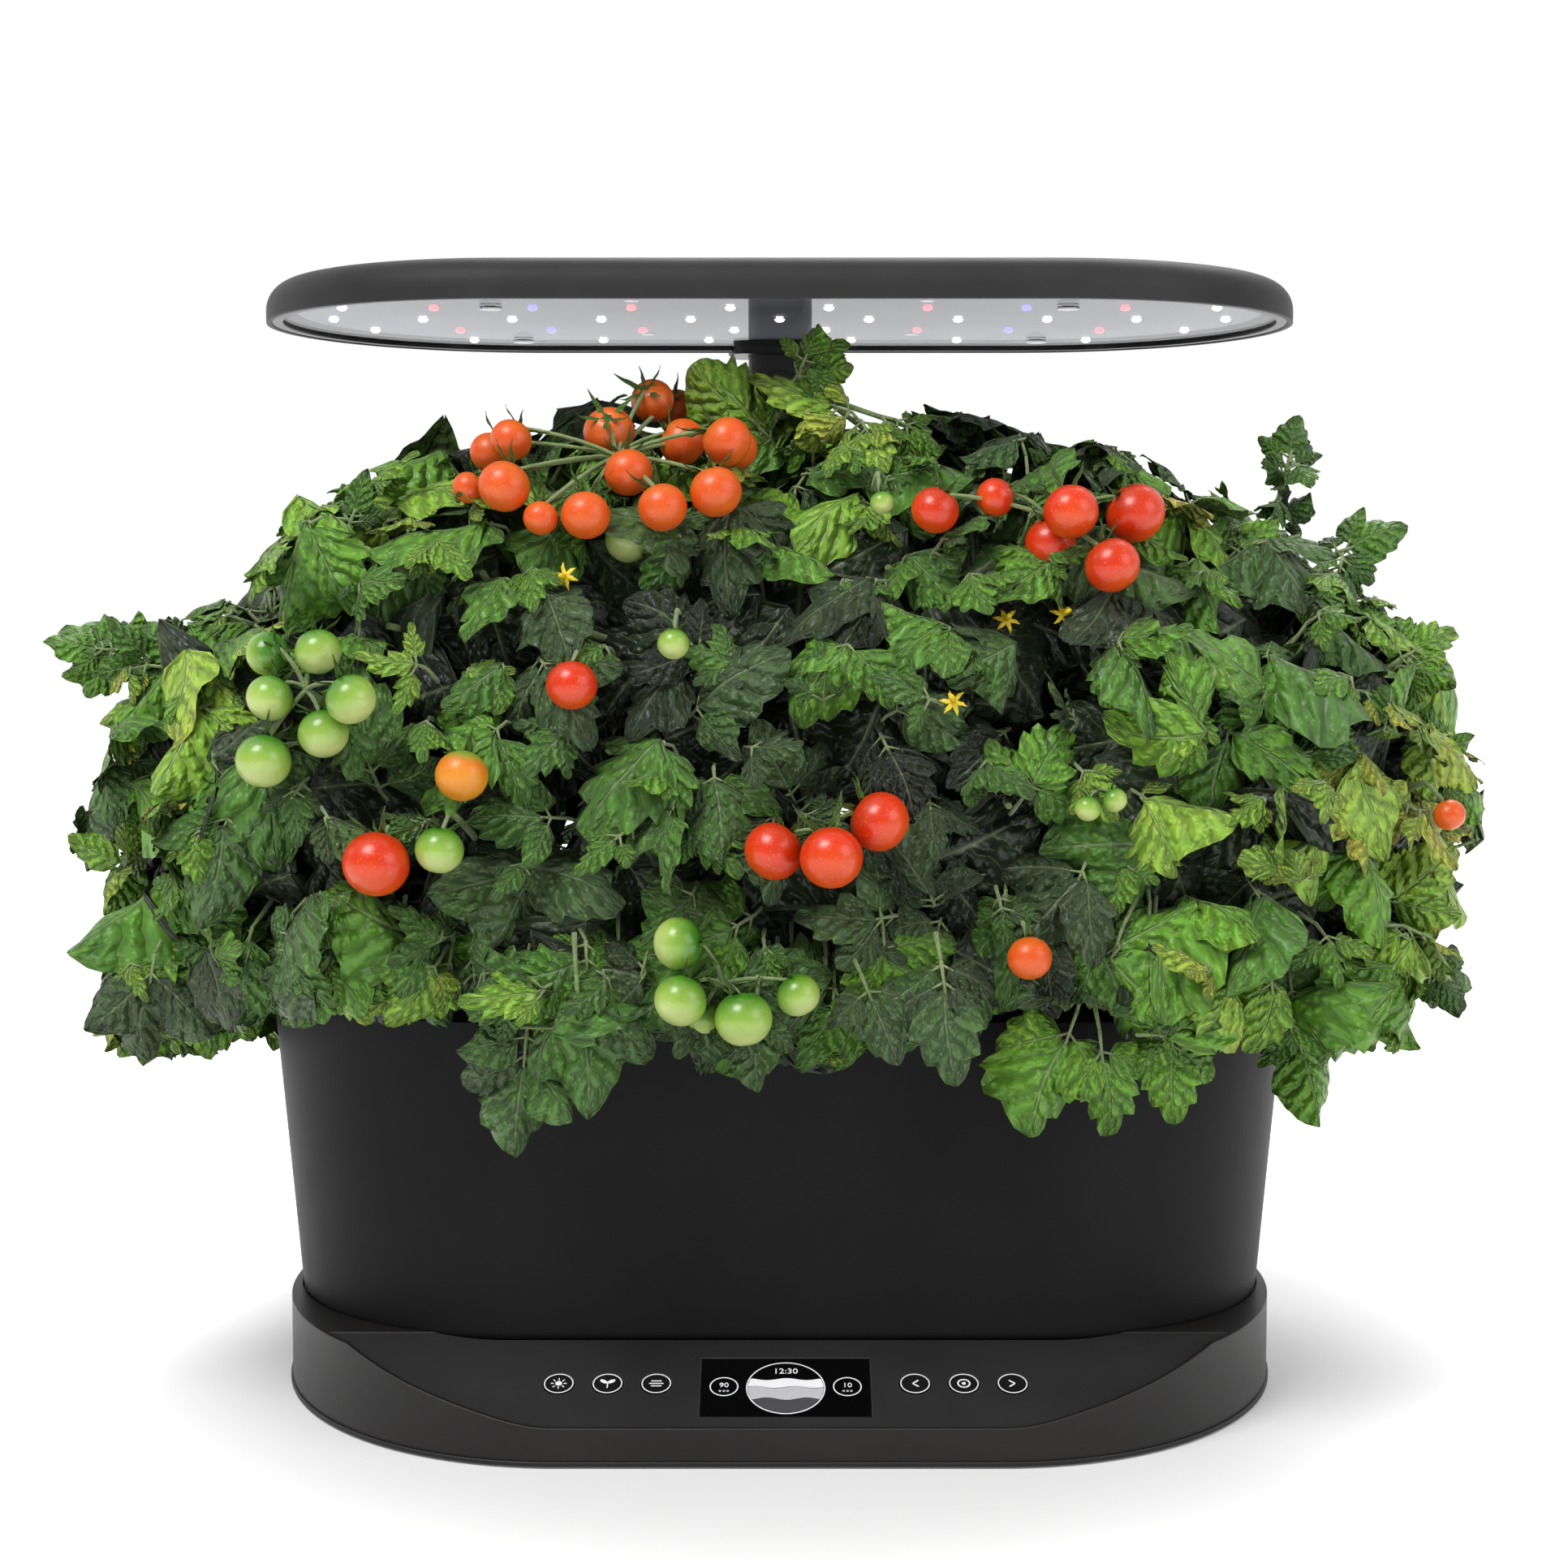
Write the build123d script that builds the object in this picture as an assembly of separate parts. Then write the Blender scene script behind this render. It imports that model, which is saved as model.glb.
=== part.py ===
from build123d import *
import math
import os

# Countertop hydroponic garden: a lit, height-adjustable lamp over a water bowl with nine
# plant pods, on a base with a display and keys.  Millimetres, +Z up, front towards -Y.
# The origin is the underside of the middle foot.

# ------------------------------------------------------------------ driving sizes
# Base
base_half_width = 209.5
base_half_depth = 146.7
base_end_length = 124.0
base_mid_y = -10.5
pan_flare = 0.8
base_wall = 2.5
base_top_z = 36.5
parting_z = 2.6
pan_bottom_z = 0.8
pan_step = 1.4
deck_floor = 3.0
bowl_seat_z = 33.0
lip_front_z = 15.4
lip_flat_half = 86.0
lip_rise_half = 172.0
lip_low_knot = (0.30, 0.19)
lip_high_knot = (0.74, 0.66)
lip_end_lift = 0.4

# Sloping control fascia
fascia_front_y = -154.0
fascia_front_z = 15.0
fascia_angle = 21.8
fascia_thick = 2.0
fascia_rear_y = -101.0
pocket_floor = 2.5

# Display
display_mid_x = 2.5
display_width = 66.0
display_height = 35.1
display_low = 5.8
window_thick = 1.2
module_border = 2.0
module_thick = 3.5

# Keys
key_row = 25.3
key_pitch = 19.0
key_inner_offset = 50.4
key_radius = 6.05
key_gap = 0.3
key_proud = 0.3
key_flange_radius = 7.0
key_flange_thick = 0.8
key_stem_radius = 2.5
key_stem_length = 1.8
key_travel = 0.8
switch_height = 2.2
switch_radius = 2.6
board_thick = 1.6
board_height = 26.0

# Feet, screws and power inlet
foot_radius = 8.0
foot_height = 2.0
foot_x = 155.0
foot_front_y = -92.0
foot_rear_y = 82.0
screw_radius = 1.5
screw_head_radius = 3.0
screw_head_height = 1.4
screw_length = 13.0
screw_play = 0.2
# Base screws of one side: how far in from the side, and how far behind the middle of the base
screw_spots = [(34.5, -4.5), (89.5, -101.5), (79.5, 95.5), (169.5, 128.5)]
boss_radius = 3.5
inlet_x = base_half_width - base_end_length + 0.5
inlet_radius = 5.0
inlet_bore = 2.75
inlet_pin_radius = 1.0
inlet_length = 17.0
inlet_body_height = 11.0
inlet_body_border = 1.0
inlet_bore_depth = 10.0
inlet_pin_sink = 1.0
power_board_x = 46.0
power_board_y = 28.0
power_board_border = 4.0
power_board_back = 6.0
coil_size = (10.0, 12.0, 9.0)
standoff_height = 5.0

# Water bowl
bowl_half_straight = 108.5
bowl_mid_y = -7.0
bowl_rim_radius = 109.0
bowl_base_radius = 97.5
bowl_rim_z = 164.0
bowl_wall = 2.5
bowl_floor = 3.0
bowl_corner = 5.0
bowl_gap = 0.8
ledge_width = 3.0
ledge_height = 2.5

# Grow deck and pods
deck_thick = 3.0
deck_sink = 0.5
deck_gap = 0.4
deck_skirt_width = 2.2
deck_skirt_height = 2.0
pod_hole_radius = 18.5
pod_collar_width = 3.0
pod_collar_height = 1.5
back_row_y = 38.0
front_row_y = -50.0
pod_pitch = 76.0
basket_length = 48.0
basket_top_radius = 18.1
basket_base_radius = 13.5
basket_wall = 1.4
basket_flange = 2.6
basket_flange_thick = 1.2
basket_slots = 8
basket_slot_width = 3.0
basket_slot_length = 24.0
basket_slot_high = 19.2
sponge_gap = 0.3
sponge_sink = 2.5
spacer_depth = 9.0
spacer_knob_height = 2.5
spacer_knob_radius = 7.0

# Fill lid
lid_left_x = bowl_half_straight + 13.5
lid_right_x = bowl_half_straight + 77.5
lid_rear_y = -55.0
lid_apron = 13.0
lid_thick = 2.5
lid_gap = 0.4
lid_pin_radius = 1.5
lid_knuckle_radius = 3.0
lid_knuckle_margin = 12.0
lid_ear_width = 7.0
lid_hinge_back = 5.0
pin_running_gap = 0.08

# Pump, riser and level float
pump_x = 146.0
pump_y = -14.0
pump_width = 50.0
pump_depth = 42.0
pump_height = 34.0
pump_corner = 5.0
rotor_radius = 11.0
rotor_height = 18.0
rotor_gap = 1.0
rotor_hub_radius = 4.0
rotor_shaft_radius = 1.5
rotor_blades = 6
rotor_blade_thick = 1.2
rotor_disc_thick = 2.0
rotor_disc_lip = 0.2
pump_cover_thick = 3.0
pump_slot_pitch = 4.0
pump_slot_width = 2.0
pump_slot_length = 16.0
filter_thick = 6.0
riser_radius = 4.0
riser_wall = 1.2
float_x = 176.0
float_y = 18.0
float_post_radius = 3.0
float_stop_radius = 6.0
float_stop_height = 2.0
float_radius = 13.0
float_height = 18.0
float_gap = 0.3
float_travel = 50.0

# Telescopic mast
mast_y = 118.0
top_tube_x = 30.0
top_tube_y = 22.0
tube_corner = 6.0
tube_wall = 1.7
tube_gap = 0.3
column_top_z = 330.0
middle_low_z = 60.0
middle_top_z = 345.0
top_low_z = 90.0
collar_wall = 1.4
collar_height = 12.0
collar_lip = 4.0
glide_flange = 4.0
glide_plug = 8.0
glide_gap = 0.1
socket_height = 18.0
socket_wall = 3.5
tube_face_width = 22.0
tube_face_depth = 0.6
tube_face_low_z = 150.0
tube_face_high_z = 437.0

# Lamp hood
hood_radius = 110.0
hood_half_straight = 109.0
hood_mid_y = 5.0
hood_rim_z = 446.0
hood_side = 5.0
hood_edge_radius = 12.0
hood_crown_angle = 5.4
hood_wall = 2.2
bezel_width = 4.5
bezel_lip = 1.2
bezel_lip_z = 0.4
cover_thick = 1.5
led_gap = 1.7
led_size = 3.0
led_height = 1.0
led_board_thick = 1.6
led_board_radius = 97.0
sink_thick = 3.0
sink_radius = 92.0
led_row_pitch = 43.5
led_mid_pitch = 38.4
led_mid_half_count = 5
led_row_white = (20.4, 181.0)
led_row_red = (61.3, 143.0)
led_row_blue = (102.2,)
led_edge_row_white = (33.0, 82.0, 142.0)
neck_half_width = 22.0
neck_half_depth = 16.5
neck_wall = 2.4
neck_drop = 1.5
neck_height = 14.0
peg_x = 117.0
peg_y = 66.0
peg_radius = 2.4
peg_head_radius = 4.5
hood_screw_x = 60.0
hood_screw_y = 65.0

# Plants
bush_mid_y = -15.0
bush_skin = 10.0
bush_gap = 0.6
bush_hem_cut = 5.0
bush_cut_inner = 55.0
bush_cut_outer = 165.0
cluster_radius = 44.0
cluster_rise = 11.0
mast_clearance = 12.0
stem_radius = 3.5
branch_radius = 2.2
twig_radius = 1.2
stem_base_z = 161.0
fork_z = 255.0
fork_share = 0.4
branch_high_z = 360.0
branch_rear_z = 340.0
branch_low_z = 235.0
branch_rear_shift = [-14.0, 8.0, -42.0, 8.0, 14.0]
branch_front_shift = [-22.0, -10.0, 12.0, 14.0, 22.0]

# Height, half width, half depth and end length of the leaf mass, from its hem to its top
bush_sections = [
    (140.0, 276.0, 150.0, 140.0),
    (180.0, 290.0, 157.0, 146.0),
    (235.0, 297.0, 160.0, 150.0),
    (290.0, 288.0, 154.0, 146.0),
    (335.0, 255.0, 138.0, 132.0),
    (372.0, 212.0, 112.0, 106.0),
    (398.0, 140.0, 72.0, 68.0),
    (408.0, 70.0, 32.0, 30.0),
]

# Leaf clusters that swell out of the leaf mass: height of each row, and how many stand round it
cluster_rows = [(188.0, 17), (244.0, 17), (300.0, 16), (349.0, 13), (386.0, 9), (405.0, 4)]

# Each fruit is x, y, z and radius, truss by truss
orange_truss = [
    (-51, -73, 409, 8.8), (-67, -94, 395, 10.2), (-42, -57, 407, 8.0),
    (-38, -96, 391, 9.4), (-20, -117, 390, 9.6), (-58, -119, 378, 9.4),
    (-44, -137, 364, 9.4), (-24, -133, 370, 10.0), (-17, -97, 388, 8.7),
]
left_red_truss = [
    (-114, -93, 387, 8.2), (-104, -109, 391, 8.3), (-104, -135, 372, 10.0),
    (-119, -124, 372, 6.2), (-90, -138, 360, 6.7), (-73, -138, 361, 9.4),
]
right_red_truss = [
    (59, -136, 363, 9.2), (82, -132, 368, 7.4), (109, -148, 362, 10.4),
    (135, -134, 362, 11.5), (103, -132, 351, 9.7), (124, -153, 342, 10.5),
]
middle_red_truss = [(-2, -172, 237, 11.0), (19, -186, 236, 11.6), (37, -173, 248, 11.2)]
lone_red = [(-76, -170, 298, 9.5), (-147, -179, 233, 12.4)]
turning_fruit = [(-116, -175, 265, 9.8), (260, -119, 246, 6.3), (92, -176, 198, 8.3)]
left_green_truss = [
    (-171, -158, 310, 8.8), (-191, -151, 309, 8.4), (-168, -166, 280, 9.4),
    (-190, -167, 270, 10.4), (-156, -176, 293, 9.4), (-188, -164, 293, 8.8),
]
low_green_truss = [
    (-37, -173, 203, 9.8), (-36, -181, 183, 9.8), (-13, -179, 176, 10.7),
    (7, -174, 184, 8.2), (-28, -165, 174, 6.4),
]
small_green = [
    (-39, -163, 313, 6.0), (113, -175, 253, 4.9), (123, -174, 256, 4.6),
    (-58, -121, 352, 9.0), (39, -133, 366, 4.6), (-124, -178, 238, 9.0),
]

# Sprigs that stand out of the leaf mass: root and tip of the stalk, then leaf pads on it
left_sprig = [(-262, -60, 268), (-318, -40, 304)]
left_sprig_pads = [(-318, -40, 301, 9), (-301, -44, 318, 9), (-296, -40, 287, 12)]
high_sprig = [(196, -60, 352), (226, -50, 398)]
high_sprig_pads = [(226, -50, 398, 9), (213, -50, 384, 8), (230, -50, 376, 8)]
right_sprig = [(232, -50, 338), (262, -50, 346)]
right_sprig_pads = [(262, -50, 344, 12), (250, -50, 358, 8)]
side_sprig = [(276, -70, 236), (308, -66, 238)]
side_sprig_pads = [(310, -66, 236, 9), (303, -66, 250, 9)]
low_sprig = [(262, -80, 168), (298, -84, 168)]
low_sprig_pads = [(300, -84, 168, 7), (284, -82, 158, 7)]
top_sprig = [(-4, -62, 396), (-2, -72, 432)]
top_sprig_pads = [(-6, -72, 430, 10), (20, -70, 429, 8)]
leaf_turn = Rot(35, 25, 0)

# ------------------------------------------------------------------ worked-out places
section_plane = Plane(origin=(0, 0, 0), x_dir=(0, -1, 0), z_dir=(-1, 0, 0))
base_rear_y = base_mid_y + base_half_depth
deck_under_z = bowl_seat_z - deck_floor
shelf_z = parting_z + pan_step
fascia_frame = Plane(
    origin=(0, fascia_front_y, fascia_front_z),
    x_dir=(1, 0, 0),
    z_dir=(0, -math.sin(math.radians(fascia_angle)), math.cos(math.radians(fascia_angle))),
)
assembly_gap = 0.15
key_flange_top = -fascia_thick - 2 * assembly_gap
key_flange_low = key_flange_top - key_flange_thick
key_stem_low = key_flange_low - key_stem_length
switch_top = key_stem_low - key_travel - 2 * assembly_gap
board_top = switch_top - switch_height
pocket_low = -fascia_thick - assembly_gap - pocket_floor
key_places = {
    "key_light": display_mid_x - key_inner_offset - 2 * key_pitch,
    "key_plant": display_mid_x - key_inner_offset - key_pitch,
    "key_tips": display_mid_x - key_inner_offset,
    "key_left": display_mid_x + key_inner_offset,
    "key_ok": display_mid_x + key_inner_offset + key_pitch,
    "key_right": display_mid_x + key_inner_offset + 2 * key_pitch,
}
deck_top_z = bowl_rim_z - deck_sink
deck_low_z = deck_top_z - deck_thick
ledge_top_z = deck_low_z - deck_skirt_height
bowl_slope = (bowl_rim_radius - bowl_base_radius) / (bowl_rim_z - bowl_seat_z)
bowl_inside_z = bowl_seat_z + bowl_floor
back_row = [(pod_pitch * step, back_row_y) for step in range(-2, 3)]
front_row = [(pod_pitch * step, front_row_y) for step in range(-2, 2)]
planted_pods = [back_row[0], front_row[1], back_row[2], front_row[3], back_row[4]]
empty_pods = [back_row[1], back_row[3], front_row[0], front_row[2]]
lid_axis_y = lid_rear_y + lid_hinge_back
lid_axis_z = bowl_rim_z - lid_thick
middle_tube_x = top_tube_x + 2 * (tube_wall + tube_gap)
middle_tube_y = top_tube_y + 2 * (tube_wall + tube_gap)
column_x = middle_tube_x + 2 * (tube_wall + tube_gap)
column_y = middle_tube_y + 2 * (tube_wall + tube_gap)
hood_top_z = hood_rim_z + hood_side + hood_edge_radius
cover_low_z = hood_rim_z + bezel_lip_z + bezel_lip
cover_top_z = cover_low_z + cover_thick
led_low_z = cover_top_z + led_gap
board_low_z = led_low_z + led_height
sink_low_z = board_low_z + led_board_thick
sink_top_z = sink_low_z + sink_thick
neck_low_z = hood_rim_z - neck_drop
tube_top_z = neck_low_z + neck_height - neck_wall
screw_places = []
for side in (-1, 1):
    screw_places += [(side * (base_half_width - inset), base_mid_y + y) for inset, y in screw_spots]


# ------------------------------------------------------------------ shape helpers
def oval(half_width, half_depth, end_length, mid_y, z=0.0):
    """Flat face with straight long sides and half-elliptical ends."""
    straight = half_width - end_length
    right = EllipticalCenterArc((straight, 0), end_length, half_depth, -90, arc_size=180)
    left = EllipticalCenterArc((-straight, 0), end_length, half_depth, 90, arc_size=180)
    rear = Line((straight, half_depth), (-straight, half_depth))
    front = Line((-straight, -half_depth), (straight, -half_depth))
    return Pos(0, mid_y, z) * make_face([right, rear, left, front])


def base_oval(inset, z=0.0):
    """Outline of the base, drawn in by an inset."""
    return oval(
        base_half_width - inset,
        base_half_depth - inset,
        base_end_length - inset,
        base_mid_y,
        z,
    )


def racetrack(profile, half_straight, mid_y):
    """Carry a radius-height profile round two straights and two half-round ends."""
    start = Pos(half_straight, 0, 0) * (section_plane * profile)
    end = revolve(start, Axis((half_straight, 0, 0), (0, 0, 1)), 180)
    side = extrude(start, 2 * half_straight)
    return Pos(0, mid_y, 0) * (side + [mirror(side, Plane.XZ), end, mirror(end, Plane.YZ)])


def track_plate(half_straight, radius, mid_y, low_z, high_z):
    """Flat plate with parallel sides and half-round ends."""
    outline = SlotOverall(2 * (half_straight + radius), 2 * radius)
    return Pos(0, mid_y, low_z) * extrude(outline, high_z - low_z)


def box_between(low, high):
    """Box from its lowest to its highest corner."""
    size = [b - a for a, b in zip(low, high)]
    return Pos(*low) * Box(*size, align=(Align.MIN, Align.MIN, Align.MIN))


def rod(radius, low, high):
    """Round rod between two points."""
    start = Vector(*low)
    run = Vector(*high) - start
    plane = Plane(origin=start, z_dir=run)
    return plane * Cylinder(radius, run.length, align=(Align.CENTER, Align.CENTER, Align.MIN))


def upright(radius, x, y, low_z, high_z):
    """Vertical round rod."""
    return rod(radius, (x, y, low_z), (x, y, high_z))


def mast_block(size_x, size_y, corner, low_z, high_z):
    """Rounded rectangular block on the mast's axis."""
    outline = RectangleRounded(size_x, size_y, corner)
    return Pos(0, mast_y, low_z) * extrude(outline, high_z - low_z)


def mast_tube(size_x, size_y, corner, low_z, high_z):
    """Rounded rectangular tube on the mast's axis."""
    bore = mast_block(
        size_x - 2 * tube_wall, size_y - 2 * tube_wall, corner - tube_wall, low_z - 1, high_z + 1
    )
    return mast_block(size_x, size_y, corner, low_z, high_z) - bore


def on_fascia(shape, x, along, low):
    """Place a shape in the fascia's own frame, low above its top face."""
    return fascia_frame * Pos(x, along, low) * shape


def fascia_rod(radius, x, along, low, high):
    """Round rod square to the fascia between two heights over its top face."""
    shape = Cylinder(radius, high - low, align=(Align.CENTER, Align.CENTER, Align.MIN))
    return on_fascia(shape, x, along, low)


def under_fascia(height):
    """Everything below a plane parallel to the fascia's top face."""
    shape = Box(700, 700, 300, align=(Align.CENTER, Align.CENTER, Align.MAX))
    return on_fascia(shape, 0, 0, height)


def group(shapes):
    """Several separate solids in one node."""
    return Compound(children=[solid for shape in shapes for solid in shape.solids()])


def save(name, shape):
    """Write one node."""
    export_step(shape, f"parts/{name}.step")


# ------------------------------------------------------------------ base
def lip_cutter():
    """Space above the front lip, which sweeps up from the low front to the two lobes."""
    above = base_top_z + 30.0
    rise = lip_rise_half - lip_flat_half
    climb = base_top_z - lip_front_z
    edge_z = base_top_z + lip_end_lift
    knots = [
        (lip_flat_half, lip_front_z),
        (lip_flat_half + lip_low_knot[0] * rise, lip_front_z + lip_low_knot[1] * climb),
        (lip_flat_half + lip_high_knot[0] * rise, lip_front_z + lip_high_knot[1] * climb),
        (lip_rise_half, edge_z),
    ]
    right = Spline(knots, tangents=[(1, 0), (1, 0.35)])
    left = mirror(right, Plane.YZ)
    bottom = Line((-lip_flat_half, lip_front_z), (lip_flat_half, lip_front_z))
    sides = Polyline(
        (lip_rise_half, edge_z), (lip_rise_half, above), (-lip_rise_half, above),
        (-lip_rise_half, edge_z),
    )
    face = Plane.XZ * make_face([bottom, right, sides, left])
    return Pos(0, fascia_rear_y, 0) * extrude(face, 80)


def fascia_outline(inset, low_z, high_z):
    """Block behind the front lip that holds the fascia, in front of the bowl's seat."""
    block = extrude(base_oval(base_wall + inset, low_z), high_z - low_z)
    front = box_between((-300, -300, low_z - 1), (300, fascia_rear_y - inset, high_z + 1))
    return block & front


def bowl_recess():
    """Seat that the bowl drops into."""
    return track_plate(
        bowl_half_straight, bowl_base_radius + bowl_gap, bowl_mid_y, bowl_seat_z, base_top_z + 40
    )


def make_base_shell():
    body = extrude(base_oval(0, parting_z), base_top_z - parting_z)
    body += mast_socket()
    hollows = [
        lip_cutter() - extrude(base_oval(base_wall), base_top_z + 60),
        fascia_outline(0, 0, base_top_z + 20) - under_fascia(-fascia_thick - assembly_gap),
        bowl_recess(),
        extrude(base_oval(base_wall, parting_z - 1), deck_under_z - parting_z + 1)
        & under_fascia(pocket_low),
        mast_block(column_x + 2 * assembly_gap, column_y + 2 * assembly_gap,
                   tube_corner + 2 * (tube_wall + tube_gap) + assembly_gap,
                   bowl_seat_z, base_top_z + socket_height + 1),
    ]
    body -= hollows
    posts = [upright(boss_radius, x, y, shelf_z, deck_under_z + 1) for x, y in screw_places]
    ceiling = under_fascia(pocket_low + 1)
    posts = [post & ceiling for post in posts]
    posts += [fascia_rod(boss_radius, x, key_row, board_top, pocket_low + 1)
              for x in board_post_places()]
    body += posts
    holes = [upright(screw_radius, x, y, shelf_z - 1, shelf_z + screw_length)
             for x, y in screw_places]
    holes += [upright(screw_radius + screw_play, x, mast_y, deck_under_z - 1, bowl_seat_z + 1)
              for x in (-column_screw_x(), column_screw_x())]
    holes += [fascia_rod(key_flange_radius + key_gap, x, key_row, pocket_low - 1, 2)
              for x in key_places.values()]
    module = Box(display_width + 2 * module_border + 2 * assembly_gap,
                 display_height + 2 * module_border + 2 * assembly_gap,
                 pocket_floor + 4, align=(Align.CENTER, Align.CENTER, Align.MIN))
    holes.append(on_fascia(module, display_mid_x, display_low + display_height / 2, pocket_low - 1))
    holes.append(rod(inlet_radius + assembly_gap, (inlet_x, base_rear_y - 15, inlet_z()),
                     (inlet_x, base_rear_y + 5, inlet_z())))
    return body - holes


def mast_socket():
    """Raised block at the rear that holds the mast's foot, flush with the rear wall."""
    half_x = column_x / 2 + socket_wall
    top_z = base_top_z + socket_height
    low_y = mast_y - column_y / 2 - socket_wall
    block = box_between((-half_x, low_y, deck_under_z), (half_x, base_rear_y + 5, top_z))
    return block & extrude(base_oval(0, deck_under_z), socket_height + 20)


def column_screw_x():
    """Sideways place of the two screws that hold the column down."""
    return column_x / 4


def board_post_places():
    """Places of the four posts that carry the control board, between and beside the keys."""
    half_gap = key_pitch / 2
    left = key_places["key_light"] - half_gap - 1
    right = key_places["key_right"] + half_gap + 1
    return [left, key_places["key_tips"] - half_gap, key_places["key_left"] + half_gap, right]


def inlet_z():
    """Height of the power inlet's axis."""
    return shelf_z + standoff_height + board_thick + inlet_body_height / 2


def standoff_places():
    """Corners of the power board, where the pan's pillars carry it."""
    dx = power_board_x / 2 - power_board_border
    dy = power_board_y / 2 - power_board_border
    return [(inlet_x + sx * dx, power_board_mid_y() + sy * dy) for sx in (-1, 1) for sy in (-1, 1)]


def power_board_mid_y():
    """Depth of the power board's middle, just inside the rear wall."""
    return base_rear_y - base_wall - power_board_back - power_board_y / 2


def make_base_pan():
    plate = extrude(base_oval(-pan_flare, pan_bottom_z), parting_z - pan_bottom_z)
    plate += extrude(base_oval(base_wall + 2 * assembly_gap, parting_z), pan_step)
    for x, y in screw_places:
        plate -= upright(screw_radius + screw_play, x, y, 0, shelf_z + 1)
        plate -= upright(screw_head_radius + screw_play, x, y, 0, pan_bottom_z + screw_head_height + screw_play)
    for x, y in foot_places():
        plate -= upright(foot_radius + assembly_gap, x, y, 0, foot_height)
    for x, y in standoff_places():
        plate += upright(boss_radius - 1, x, y, shelf_z, shelf_z + standoff_height)
    return plate


def foot_places():
    """Middle foot and the four outer feet."""
    outer = [(side * foot_x, y) for side in (-1, 1) for y in (foot_front_y, foot_rear_y)]
    return [(0.0, 0.0)] + outer


def make_rubber_feet():
    return group([upright(foot_radius, x, y, 0, foot_height) for x, y in foot_places()])


def make_base_screws():
    screws = []
    head_top = pan_bottom_z + screw_head_height + screw_play
    for x, y in screw_places:
        head = upright(screw_head_radius, x, y, head_top - screw_head_height, head_top)
        screws.append(head + upright(screw_radius, x, y, head_top, shelf_z + screw_length - 2))
    return group(screws)


def make_column_screws():
    screws = []
    for x in (-column_screw_x(), column_screw_x()):
        head = upright(screw_head_radius, x, mast_y, deck_under_z - screw_head_height, deck_under_z)
        shank = upright(screw_radius, x, mast_y, deck_under_z, bowl_seat_z + deck_floor)
        screws.append(head + shank)
    return group(screws)


def make_control_fascia():
    plate = fascia_outline(assembly_gap, 0, base_top_z + 20)
    plate &= under_fascia(0)
    plate -= under_fascia(-fascia_thick)
    plate -= bowl_recess()
    for x in key_places.values():
        plate -= fascia_rod(key_radius + key_gap, x, key_row, -fascia_thick - 1, 1)
    recess = Box(display_width + 2 * assembly_gap, display_height + 2 * assembly_gap,
                 window_thick + 1, align=(Align.CENTER, Align.CENTER, Align.MIN))
    display_mid = display_low + display_height / 2
    plate -= on_fascia(recess, display_mid_x, display_mid, -window_thick)
    view = Box(display_width - 2 * module_border, display_height - 2 * module_border, 4)
    return plate - on_fascia(view, display_mid_x, display_mid, -fascia_thick)


def make_display_window():
    glass = Box(display_width, display_height, window_thick,
                align=(Align.CENTER, Align.CENTER, Align.MIN))
    return on_fascia(glass, display_mid_x, display_low + display_height / 2, -window_thick)


def make_display_module():
    panel = Box(display_width + 2 * module_border, display_height + 2 * module_border,
                module_thick, align=(Align.CENTER, Align.CENTER, Align.MAX))
    return on_fascia(panel, display_mid_x, display_low + display_height / 2, -fascia_thick)


def make_key(x):
    """Round key with a flange that the fascia holds down and a stem over its switch."""
    cap = fascia_rod(key_radius, x, key_row, key_flange_top, key_proud)
    flange = fascia_rod(key_flange_radius, x, key_row, key_flange_low, key_flange_top)
    stem = fascia_rod(key_stem_radius, x, key_row, key_stem_low, key_flange_low)
    return cap + flange + stem


def make_control_board():
    left = key_places["key_light"] - key_pitch / 2 - 5
    right = key_places["key_right"] + key_pitch / 2 + 5
    sheet = Box(right - left, board_height, board_thick,
                align=(Align.CENTER, Align.CENTER, Align.MAX))
    board = on_fascia(sheet, (left + right) / 2, key_row, board_top)
    for x in key_places.values():
        board += fascia_rod(switch_radius, x, key_row, board_top, switch_top)
    return board


def make_power_board():
    low_z = shelf_z + standoff_height
    half = (power_board_x / 2, power_board_y / 2)
    mid_y = power_board_mid_y()
    sheet = box_between((inlet_x - half[0], mid_y - half[1], low_z),
                        (inlet_x + half[0], mid_y + half[1], low_z + board_thick))
    coil_x = inlet_x - half[0] + power_board_border + coil_size[0] / 2
    coil = Box(*coil_size, align=(Align.CENTER, Align.CENTER, Align.MIN))
    coil = Pos(coil_x, mid_y - power_board_border, low_z + board_thick) * coil
    return sheet + coil


def make_power_inlet():
    outer_y = base_rear_y
    body_rear = base_rear_y - base_wall - 0.5
    half = inlet_radius + inlet_body_border
    low_z = inlet_z() - inlet_body_height / 2
    body = box_between((inlet_x - half, body_rear - inlet_length + 5, low_z),
                       (inlet_x + half, body_rear, low_z + inlet_body_height))
    barrel = rod(inlet_radius, (inlet_x, body_rear, inlet_z()), (inlet_x, outer_y, inlet_z()))
    low_y = outer_y - inlet_bore_depth
    bore = rod(inlet_bore, (inlet_x, low_y, inlet_z()), (inlet_x, outer_y + 1, inlet_z()))
    pin = rod(inlet_pin_radius, (inlet_x, low_y, inlet_z()),
              (inlet_x, outer_y - inlet_pin_sink, inlet_z()))
    return body + barrel - bore + pin


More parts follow.
